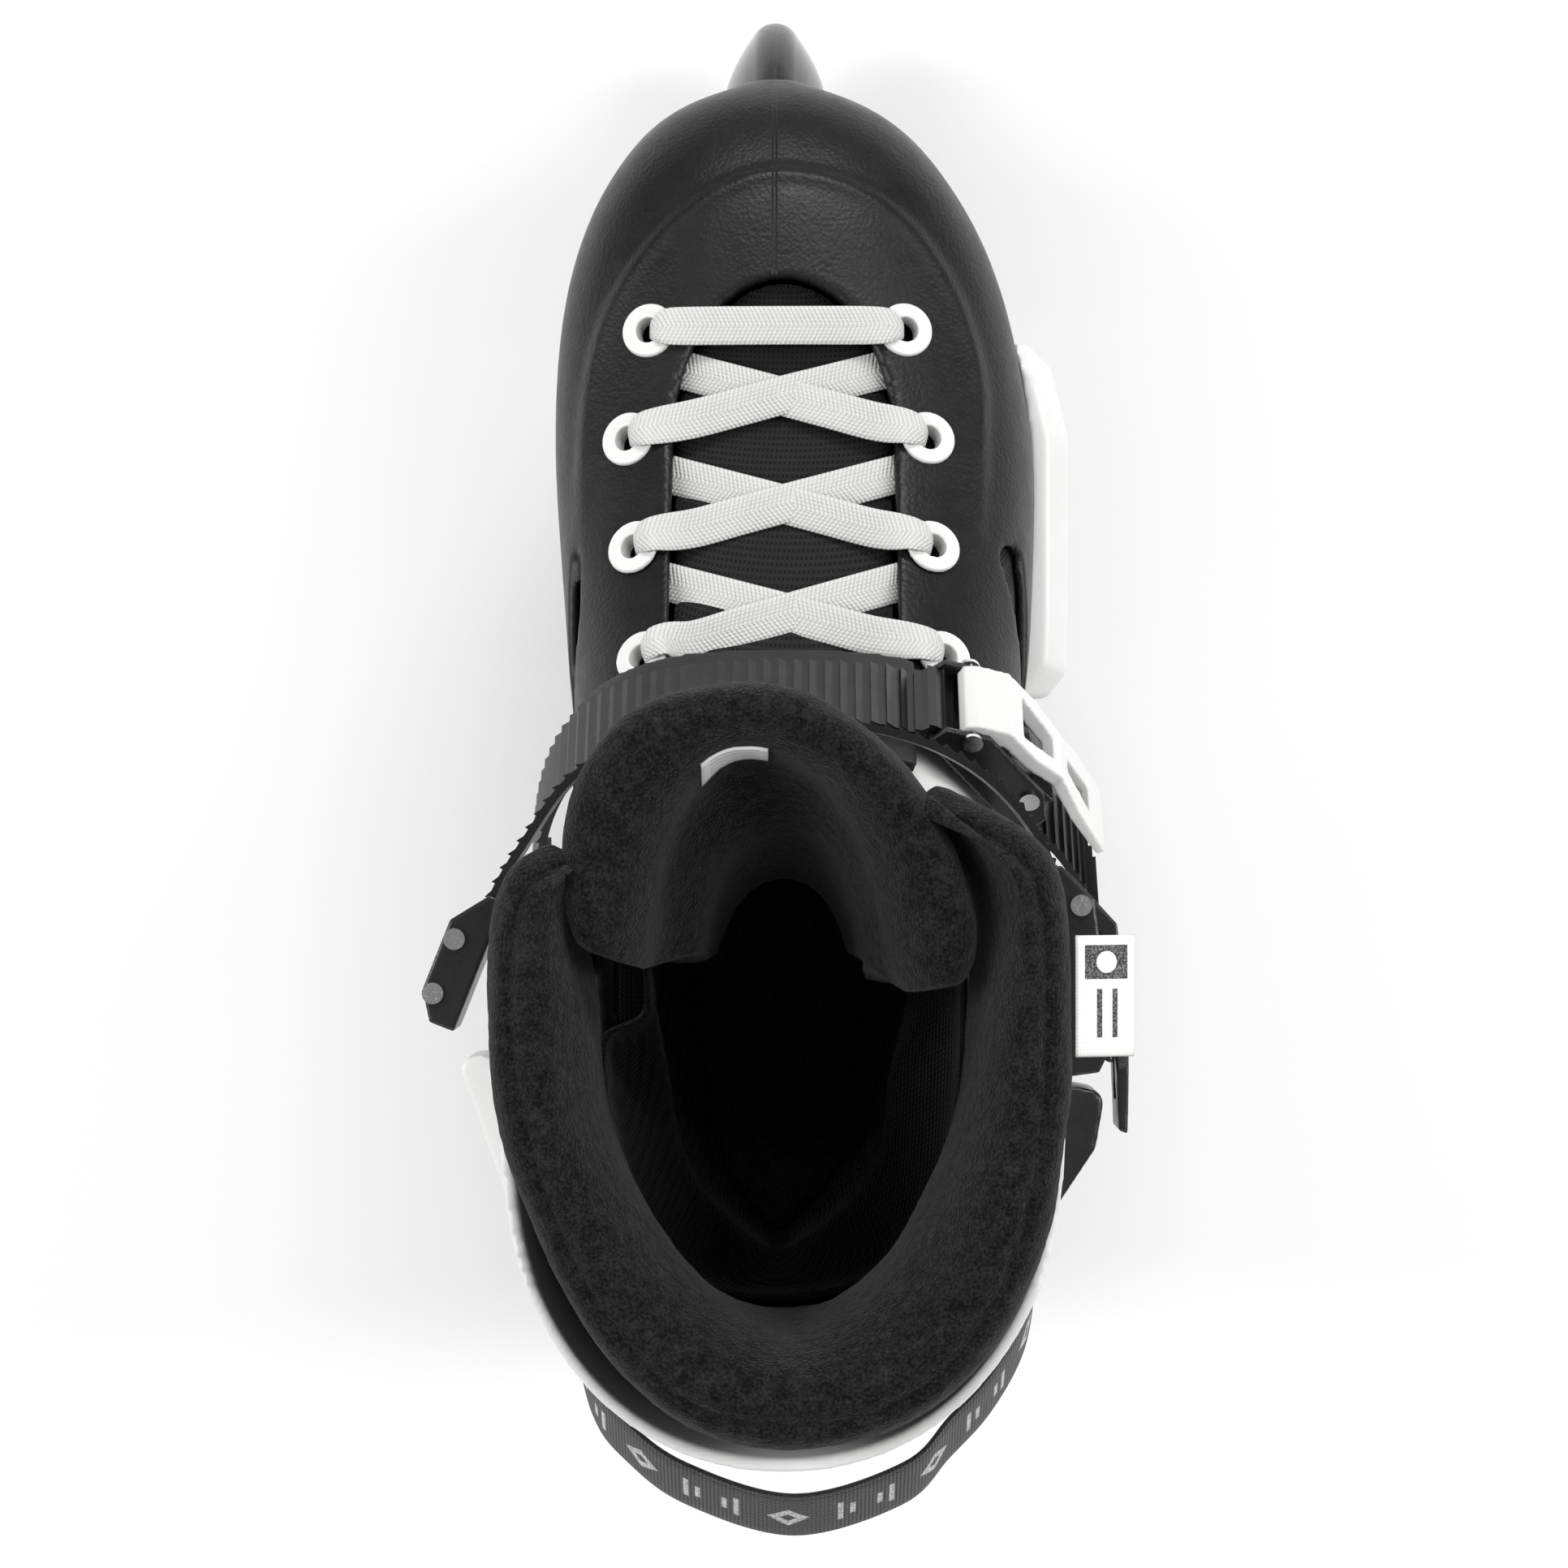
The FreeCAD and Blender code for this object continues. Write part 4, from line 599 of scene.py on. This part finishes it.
shell = moulded(["boot_shell"], 0.9, 7, shape=shape_shell)
tongue_low = moulded(["tongue_lower"], 1.6, 8)
liner = moulded(["liner_foot"], 2.2, 6)
footbed = moulded(["footbed"], 2.0, 6)
moulded(["side_slider"], 0.9, 6)
cuff = moulded(["cuff"], 1.0, 5)
for source in ("instep_buckle_base", "cuff_buckle_base", "cuff_adjuster_base", "instep_lever", "cuff_lever",
               "instep_pawl", "cuff_pawl", "cuff_adjuster_pawl"):
    moulded([source], 0.4, 3)
for source in ("strap_cover_inner", "strap_cover_outer", "instep_pad"):
    moulded([source], 0.7, 4)

# ------------------------------------------------------------------ eyelets and laces
MIDDLE = 2.0
GAP_HALF = 26.0
LACE_WIDTH, LACE_THICK = 9.0, 1.25
SLOT_FLOOR = 125.0  # a ray through the slot lands on the sole, below this height
TURN_IN = 6.0  # from its hole, where a lace leaves the shell to turn in
TURN_WIDTHS = [9.0, 7.8, 5.8, 4.4, 3.4]


def eyelet_places():
    """Centre and outward axis of each eyelet, in millimetres, from its CAD solid: rows from the toe back."""
    work = bmesh.new()
    work.from_mesh(nodes["eyelet"].data)
    bmesh.ops.remove_doubles(work, verts=work.verts, dist=1e-6)
    left = set(work.verts)
    found = []
    while left:
        start = left.pop()
        group, edge = [start], [start]
        while edge:
            vert = edge.pop()
            for link in vert.link_edges:
                other = link.other_vert(vert)
                if other in left:
                    left.remove(other)
                    group.append(other)
                    edge.append(other)
        cloud = np.array([v.co for v in group]) / MM
        flange = cloud.mean(0)
        spread = np.linalg.svd(cloud - flange, full_matrices=False)[2]
        axis = spread[2] if spread[2][2] > 0 else -spread[2]
        top = flange + axis * ((cloud - flange) @ axis).max()
        found.append((top, axis))
    work.free()
    found.sort(key=lambda item: -item[0][1])
    rows = [sorted(found[i:i + 2], key=lambda item: item[0][0]) for i in range(0, len(found), 2)]
    return rows


eyelets = eyelet_places()
shell_tree = tree_of(shell)
tongue_tree = tree_of(tongue_low)


def top_height(tree, x, y):
    hit, normal, _, _ = tree.ray_cast(Vector((x * MM, y * MM, 0.3)), Vector((0, 0, -1)))
    return (None, None) if hit is None else (hit.z / MM, np.array(normal))


def over_shell(x, y, lift):
    """A point above the shell, moved outwards to its edge where x, y lies in the slot, and the normal there."""
    z, normal = top_height(shell_tree, x, y)
    while z is None or z < SLOT_FLOOR:
        x += math.copysign(1.0, x - MIDDLE)
        z, normal = top_height(shell_tree, x, y)
    return np.array((x, y, z)) + normal * lift, normal


def into_eyelet(place, axis, towards):
    """The last points of a lace that turns over an eyelet's inner rim and down its hole."""
    side = unit(towards - axis * (towards @ axis))
    return [place + side * reach + axis * rise for reach, rise in (
        (TURN_IN, 0.75), (3.7, 0.85), (2.0, 0.1), (0.9, -1.8), (0.5, -4.0))]


def clear_of(hole, points, normals):
    """The points of a strand that stay well short of the turn into the eyelet at its far end."""
    side = unit((points[0] - hole) * (1, 1, 0))
    kept = [i for i, point in enumerate(points) if (point - hole) @ side > TURN_IN + 3.0]
    return [points[i] for i in kept], [normals[i] for i in kept]


def lace(name, points, normals, widths):
    """A lace through points with surface normals and widths given at them, in millimetres."""
    packed = np.hstack([points, normals, np.array(widths)[:, None]])
    run = through(packed, 0.9)
    centre, up, wide = run[:, :3], unit(run[:, 3:6]), run[:, 6]
    tangent = np.gradient(centre, axis=0)
    across = unit(np.cross(up, tangent))
    thick = LACE_THICK * (LACE_WIDTH / np.maximum(wide, 1)) ** 0.5
    wobble = np.array([noise.noise(Vector((p[0] * 0.05, p[1] * 0.05, 3.1))) for p in centre])
    across = unit(across + up * (0.10 * wobble)[:, None])
    return ribbon(name, centre * MM, across, wide * MM, thick * MM, "lace_white", "boot")


def lace_bar():
    """The straight strand across the front pair."""
    (left, left_axis), (right, right_axis) = eyelets[0]
    towards = right - left
    start = into_eyelet(left, left_axis, towards)[::-1]
    end = into_eyelet(right, right_axis, -towards)
    points, normals = list(start), [left_axis] * len(start)
    for share in (0.2, 0.4, 0.6, 0.8):
        crown = 1.2 * (1 - (2 * share - 1) ** 2)
        points.append(start[-1] + (end[0] - start[-1]) * share + np.array((0, 0, crown)))
        normals.append(np.array((0, 0, 1.0)))
    points += end
    normals += [right_axis] * len(end)
    widths = TURN_WIDTHS[::-1] + [9.0] * 4 + TURN_WIDTHS
    return lace("lace_bar", points, normals, widths)


def lace_cross(k, side):
    """The strand from under the shell's edge beside pair k to the opposite eyelet of pair k + 1."""
    start_y = eyelets[k][0][0][1] - 7.0
    last = k == 3
    goal, axis = (None, None) if last else eyelets[k + 1][1 if side > 0 else 0]
    goal_y = start_y - 17.5 if last else goal[1]
    goal_x = MIDDLE + side * 34 if last else goal[0]
    low_x = MIDDLE - side * (GAP_HALF + 6)
    lift = 1.5 if side < 0 else 0.0

    def y_at(x):
        return start_y + (goal_y - start_y) * (x - low_x) / (goal_x - low_x)

    under_x, over_x = MIDDLE - side * (GAP_HALF + 3), MIDDLE + side * (GAP_HALF + 2.5)
    under, _ = over_shell(under_x, y_at(under_x), 0)
    over, over_normal = over_shell(over_x, y_at(over_x), 1.2)
    points, normals = [], []
    for share, raise_by in ((-0.06, -0.8), (0.08, 0), (0.3, 0.3), (0.5, 0.9 + lift), (0.7, 0.6), (0.9, 0.2)):
        x = MIDDLE - side * GAP_HALF + 2 * side * GAP_HALF * share
        z = under[2] - 4.4 + (over[2] - under[2] + 4.4) * max(share, 0) ** 0.8 + raise_by
        if last and share > 0.6:
            break
        tongue_z, _ = top_height(tongue_tree, x, y_at(x))
        if tongue_z:
            z = max(z, tongue_z + 0.7 + lift)
        points.append(np.array((x, y_at(x), z)))
        normals.append(np.array((0, 0, 1.0)))
    if last:
        points.append(points[-1] + np.array((side * 12, -4.0, -1.5)))
        normals.append(np.array((0, 0, 1.0)))
        widths = [LACE_WIDTH] * len(points)
    else:
        points.append(over)
        normals.append(unit(over_normal + np.array((0, 0, 0.6))))
        points, normals = clear_of(goal, points, normals)
        widths = [LACE_WIDTH] * len(points) + TURN_WIDTHS
        end = into_eyelet(goal, axis, points[-1] - goal)
        points += end
        normals += [axis] * len(end)
    return lace("lace_%s_%d" % ("right" if side > 0 else "left", k + 1), points, normals, widths)


first_lace = lace_bar()
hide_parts("lace")
for k in range(4):
    for side in (1, -1):
        lace_cross(k, side)
moulded(["eyelet"], 0.35, 3)


# ------------------------------------------------------------------ collar and tongue
COLLAR_TOP = 321.0
# Outline stations in millimetres: outer rim x, y and the edge where the padding drops into the boot, x, y.
COLLAR_STATIONS = np.array([
    (-46.7, -26.3, -39.2, -34.2), (-53.7, -30.0, -40.4, -41.9), (-57.7, -38.0, -39.2, -50.3),
    (-59.0, -49.6, -37.0, -59.7), (-59.0, -62.9, -36.5, -70.7), (-57.7, -77.0, -35.3, -80.9),
    (-54.7, -90.4, -31.9, -92.0), (-50.4, -102.8, -26.0, -103.0), (-44.7, -115.3, -19.5, -112.3),
    (-37.9, -126.9, -13.3, -119.1), (-29.6, -137.4, -8.2, -122.5), (-19.6, -145.2, -3.1, -124.7),
    (-7.9, -149.4, 1.2, -125.8), (5.4, -150.7, 5.4, -125.8), (17.8, -149.1, 10.0, -124.1),
    (29.5, -144.7, 15.1, -120.8), (39.5, -137.4, 20.7, -116.2), (47.8, -126.9, 26.7, -108.9),
    (53.9, -114.5, 31.8, -99.6), (57.8, -101.2, 36.0, -90.3), (60.1, -87.9, 38.9, -80.1),
    (61.3, -74.5, 40.2, -70.7), (61.4, -61.2, 41.1, -62.2), (61.1, -47.9, 43.3, -52.9),
    (59.9, -36.3, 44.1, -43.6), (56.1, -27.1, 42.8, -34.2), (48.6, -21.3, 39.4, -27.4),
    (40.3, -17.2, 35.1, -21.5), (34.5, -14.3, 31.8, -17.2)])
TONGUE_STATIONS = np.array([
    (-41.9, -47.0, -26.5, -52.5), (-44.4, -36.2, -24.3, -44.9), (-44.2, -26.3, -23.2, -34.8),
    (-42.4, -17.1, -21.3, -26.4), (-38.6, -8.0, -19.0, -19.7), (-32.0, 0.3, -15.9, -14.7),
    (-22.8, 4.9, -11.4, -10.0), (-12.1, 7.2, -6.4, -8.3), (-1.3, 7.4, -1.3, -8.8), (8.7, 4.9, 4.6, -11.0),
    (17.8, -1.1, 10.4, -14.3), (26.1, -8.9, 15.5, -20.6), (32.7, -17.1, 19.3, -27.3),
    (38.5, -27.1, 22.2, -35.7),
    (42.2, -37.9, 23.9, -44.1), (42.7, -47.0, 25.1, -51.6), (40.2, -54.5, 27.2, -57.0)])


def fuzz(points, scale, amount):
    return np.array([noise.noise(Vector(p * scale)) for p in points])[:, None] * amount


def lofted_pad(name, sections, slot, body=None, replaced=(), soft=0.8):
    """A stuffed form through closed sections, its two ends drawn in to a rounded nose."""
    sections = [np.asarray(section, float) for section in sections]
    for at_start, end, after in ((True, sections[0], sections[1]), (False, sections[-1], sections[-2])):
        middle = end.mean(0)
        ahead = middle - after.mean(0)
        for reach, size in ((0.25, 0.86), (0.42, 0.55)):
            nose = middle + (end - middle) * size + ahead * reach
            sections.insert(0, nose) if at_start else sections.append(nose)
    around = len(sections[0])
    verts = [tuple(point * MM) for section in sections for point in section]
    faces = []
    for i in range(len(sections) - 1):
        for j in range(around):
            k = (j + 1) % around
            faces.append((i * around + j, i * around + k, (i + 1) * around + k, (i + 1) * around + j))
    last = (len(sections) - 1) * around
    faces += [tuple(range(around))[::-1], tuple(last + j for j in range(around))]
    mesh = bpy.data.meshes.new(name)
    mesh.from_pydata(verts, [], faces)
    work = bmesh.new()
    work.from_mesh(mesh)
    bmesh.ops.recalc_face_normals(work, faces=work.faces)
    work.to_mesh(mesh)
    work.free()
    piece = add_piece(name, mesh, slot)
    rounding = piece.modifiers.new("rounding", "SUBSURF")
    rounding.levels = rounding.render_levels = 2
    settle(piece)
    points, normals = points_of(piece.data) / MM, normals_of(piece.data)
    points = points + normals * (fuzz(points, 0.05, soft) + fuzz(points, 0.45, 0.18))
    set_points(piece.data, points * MM)
    if replaced:
        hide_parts(*replaced)
    if body:
        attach(piece, body)
    return piece


def hit_from(tree, start, run, reach):
    hit, _, _, _ = tree.ray_cast(Vector(start) * MM, Vector(run), reach * MM)
    return None if hit is None else np.array(hit) / MM


def dense(stations, step=4.0):
    return through(stations, step)


def collar_sections(cuff_tree):
    """Cross sections of the collar, outside bottom, over the crown, and down the inner wall."""
    sections = []
    rails = dense(COLLAR_STATIONS)
    for i, rail in enumerate(rails):
        outer, inner = rail[:2], rail[2:]
        wide = np.linalg.norm(outer - inner)
        inward = (inner - outer) / wide
        share = i / (len(rails) - 1)
        wing = max(0.0, 1 - min(share, 1 - share) / 0.13)
        low = 199 + 58 * min(1, wing * 1.15) ** 0.7
        crown = COLLAR_TOP - 1.0 - 5.0 * wing ** 1.5

        def outside(z, inset):
            """Just inside the cuff where it stands, or inset from the rim where it doesn't."""
            middle = np.array((2.0, -62.0, z))
            run = unit(np.append(outer - middle[:2], 0))
            found = hit_from(cuff_tree, middle + run * 18, run, 90)
            if found is None or np.linalg.norm((found - middle)[:2]) > np.linalg.norm(outer - middle[:2]) + 3:
                return np.append(outer + inward * inset, z)
            return found - run * 0.9

        def across(distance, z):
            return np.append(outer + inward * distance, z)

        thick_low = 9.0
        bottom = outside(low, 5.0)
        inside_low = bottom + np.append(inward * thick_low, 0)
        section = [bottom]
        for height in (0.3, 0.62, 0.9):
            z = low + (284 - low) * height
            section.append(outside(z, 4.5 - height))
        section += [across(0.2, 300), across(0.0, 308), across(1.2, crown - 6), across(3.4, crown - 3.2),
                    across(5.0, crown - 2.9), across(5.9, crown - 3.4), across(6.8, crown - 2.2),
                    across(9.0, crown), across(wide * 0.55, crown - 1.0), across(wide * 0.72, crown - 6.5),
                    across(wide * 0.88, crown - 16), np.append(inner, crown - 29),
                    across(wide + 0.3, crown - 46)]
        for height in (0.55, 0.2):
            z = low + (262 - low) * height
            mixed = across(wide + 0.3, z) * height + (inside_low * (1 - height))
            section.append(np.array((mixed[0], mixed[1], z)))
        section.append(inside_low)
        sections.append(section)
    return sections


def tongue_sections(cad_tree):
    """Cross sections of the upper tongue, leaning forward from the strap to the padded rim."""
    sections = []
    rails = dense(TONGUE_STATIONS)
    for i, rail in enumerate(rails):
        outer, inner = rail[:2], rail[2:]
        wide = np.linalg.norm(outer - inner)
        inward = (inner - outer) / wide
        share = i / (len(rails) - 1)
        arm = max(0.0, 1 - min(share, 1 - share) / 0.34)
        crown = COLLAR_TOP - 1.5 - 9.0 * arm ** 1.6

        def wall(z, outermost):
            """The CAD tongue's outer or inner wall in this direction at height z."""
            middle = np.array((2.0, -60.0 + (z - 211) * 0.16, z))
            run = unit(np.append(outer - middle[:2], 0))
            if outermost:
                found = hit_from(cad_tree, middle + run * 90, -run, 90)
                return middle + run * 30 if found is None else found - run * 0.2
            found = hit_from(cad_tree, middle, run, 90)
            return middle + run * 17 if found is None else found

        def across(distance, z):
            return np.append(outer + inward * distance, z)

        section = [wall(z, True) for z in (213, 232, 252, 272)]
        section.append(wall(290, True) * 0.5 + across(0.5, 290) * 0.5)
        section += [across(0.3, crown - 12), across(1.0, crown - 6), across(wide * 0.16, crown - 2.2),
                    across(wide * 0.36, crown), across(wide * 0.6, crown - 2.0), across(wide * 0.82, crown - 8),
                    np.append(inner, crown - 18), across(wide + 0.5, crown - 32)]
        section += [wall(z, False) for z in (270, 250, 230, 213)]
        sections.append(section)
    return sections


cuff_tree = tree_of(cuff)
tongue = lofted_pad("tongue_upper_pad", tongue_sections(tree_of(nodes["tongue_top"])), "collar_fabric", "cuff",
                    ["tongue_top"])
collar = lofted_pad("collar_pad", collar_sections(cuff_tree), "collar_fabric", "cuff", ["liner_collar"])
collar_tree, tongue_top_tree = tree_of(collar), tree_of(tongue)


def on_top(tree, run):
    """Points of a mesh straight below a run of x, y, with the normals there."""
    points, normals = [], []
    for x, y in run:
        hit, normal, _, _ = tree.ray_cast(Vector((x * MM, y * MM, 0.4)), Vector((0, 0, -1)))
        if hit is not None:
            points.append(np.array(hit) / MM)
            normals.append(np.array(normal))
    return np.array(points), np.array(normals)


SLEEVE_LEVELS = (176.0, 183.0, 190.0, 197.0, 204.0, 211.0)
SLEEVE_THICK = 2.4


def sleeve_sections():
    """Cross sections of the thin lining that joins foot liner and collar, round the heel from side to side."""
    liner_tree = tree_of(liner)
    sections = []
    for turn in np.radians(np.arange(44, -225, -8)):
        run = np.array((math.cos(turn), math.sin(turn), 0))
        reach = []
        for tree, z in ((liner_tree, SLEEVE_LEVELS[0] + 1), (collar_tree, SLEEVE_LEVELS[-1] - 1)):
            centre = np.array((MIDDLE, -80.0, z))
            found = hit_from(tree, centre, run, 90)
            reach.append(reach[0] if found is None else np.linalg.norm(found - centre))
        outer = [np.array((MIDDLE, -80.0, z)) + run * (np.interp(z, (183, 204), reach) - 0.8)
                 for z in SLEEVE_LEVELS]
        sections.append(outer + [point - run * SLEEVE_THICK for point in outer[::-1]])
    return sections


sleeve = lofted_pad("ankle_sleeve", sleeve_sections(), "liner_fabric", soft=0.3)
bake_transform(sleeve)

SEAM_INSET = 4.4  # from the collar's rim to the edge band's seam
rails = dense(COLLAR_STATIONS, 1.5)
inward = unit(rails[:, 2:] - rails[:, :2])
seam = rails[4:-4, :2] + inward[4:-4] * SEAM_INSET
stitches("collar_stitches", *on_top(collar_tree, seam), "collar_fabric", "cuff")

# ------------------------------------------------------------------ heel loop, side tab and inner label
LOOP_PLAN = [(-44, -106), (-43, -122), (-39, -140), (-32, -149.5), (-19, -159), (4.5, -165.8), (28, -159),
             (38, -149), (47, -139), (54, -126), (56.5, -110), (56.5, -100)]
LOOP_TOP, LOOP_WIDTH, LOOP_THICK = 266.0, 22.0, 1.5
LOOP_FALL = np.array((0, -0.5, -0.866))


def heel_loop():
    edge = through([(x, y, LOOP_TOP) for x, y in LOOP_PLAN], 1.5)
    centre = edge + LOOP_FALL * LOOP_WIDTH / 2
    toward = unit(np.array((2.0, -90.0, LOOP_TOP)) - edge)
    centre = centre + toward * LOOP_THICK / 2
    centre[:, 2] += 0.5 * np.sin(np.linspace(0, 9, len(centre)))
    across = np.tile(LOOP_FALL, (len(centre), 1))
    loop = ribbon("heel_loop_webbing", centre * MM, across, LOOP_WIDTH * MM, LOOP_THICK * MM, "webbing_black",
                  "cuff", edge=10.0)
    length = np.linalg.norm(np.diff(centre, axis=0), axis=1).sum()
    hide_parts("heel_loop")


def side_tab():
    """The sewn label at the collar's outer side, sloping down outwards with a slight sag."""
    low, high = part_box("side_tab")
    middle_y = (low.y + high.y) / 2
    length = (high.y - low.y)
    slope = math.radians(24)
    reach = 13.5
    centre, across = [], []
    for t in np.linspace(0, 1, 16):
        sag = 0.5 * math.sin(math.pi * t)
        centre.append((low.x / MM + 0.3 + reach * math.cos(slope) * t, middle_y / MM,
                       high.z / MM - 0.6 - reach * math.sin(slope) * t + sag))
        across.append((0, 1, 0))
    tab = ribbon("side_tab_label", np.array(centre) * MM, across, length, 0.9 * MM, "tab_white", "cuff",
                 edge=14.0)
    layer = tab.data.uv_layers[0].data
    longest = max(item.uv.y for item in layer)
    for item in layer:
        item.uv = (1 - item.uv.y / longest, item.uv.x)
    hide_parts("side_tab")


def inner_label():
    """Small woven care label inside the top of the tongue, left blank."""
    verts, uvs, faces = [], [], []
    columns, rows = 9, 8
    for i in range(columns):
        for j in range(rows):
            x, z = -15 + 14.0 * i / (columns - 1), 296 + 13.0 * j / (rows - 1)
            hit, normal, _, _ = tongue_top_tree.ray_cast(Vector((x * MM, -0.06, z * MM)), Vector((0, 1, 0)))
            point = Vector((x * MM, -0.02, z * MM)) if hit is None else hit + normal * 0.0005
            verts.append(tuple(point))
            uvs.append((i / (columns - 1), j / (rows - 1)))
    for i in range(columns - 1):
        for j in range(rows - 1):
            a = i * rows + j
            faces.append((a, a + rows, a + rows + 1, a + 1))
    mesh = bpy.data.meshes.new("inner_label")
    mesh.from_pydata(verts, [], faces)
    layer = mesh.uv_layers.new(name="UVMap")
    for loop in mesh.loops:
        layer.data[loop.index].uv = uvs[loop.vertex_index]
    look = Look("inner_label", (0.7, 0.7, 0.69), 0.8, Sheen_Weight=0.2)
    u, v, _ = look.axes(look.place["UV"])
    rows_of_dots = look.sum("MULTIPLY", look.sum("GREATER_THAN", look.ripple(v, 0.17), 0.72),
                            look.sum("COMPARE", u, 0.5, 0.38))
    look.blend_colour(look.sum("MULTIPLY", rows_of_dots, 0.6), (0.7, 0.7, 0.69), grey(0.25))
    look.bump(look.ripple(v, 0.05), 0.00005)
    piece = add_piece("inner_label", mesh, "tab_white", "cuff")
    mesh.materials[0] = look.material
    thicken = piece.modifiers.new("thickness", "SOLIDIFY")
    thicken.thickness = 0.0004
    settle(piece)


heel_loop()
side_tab()
inner_label()
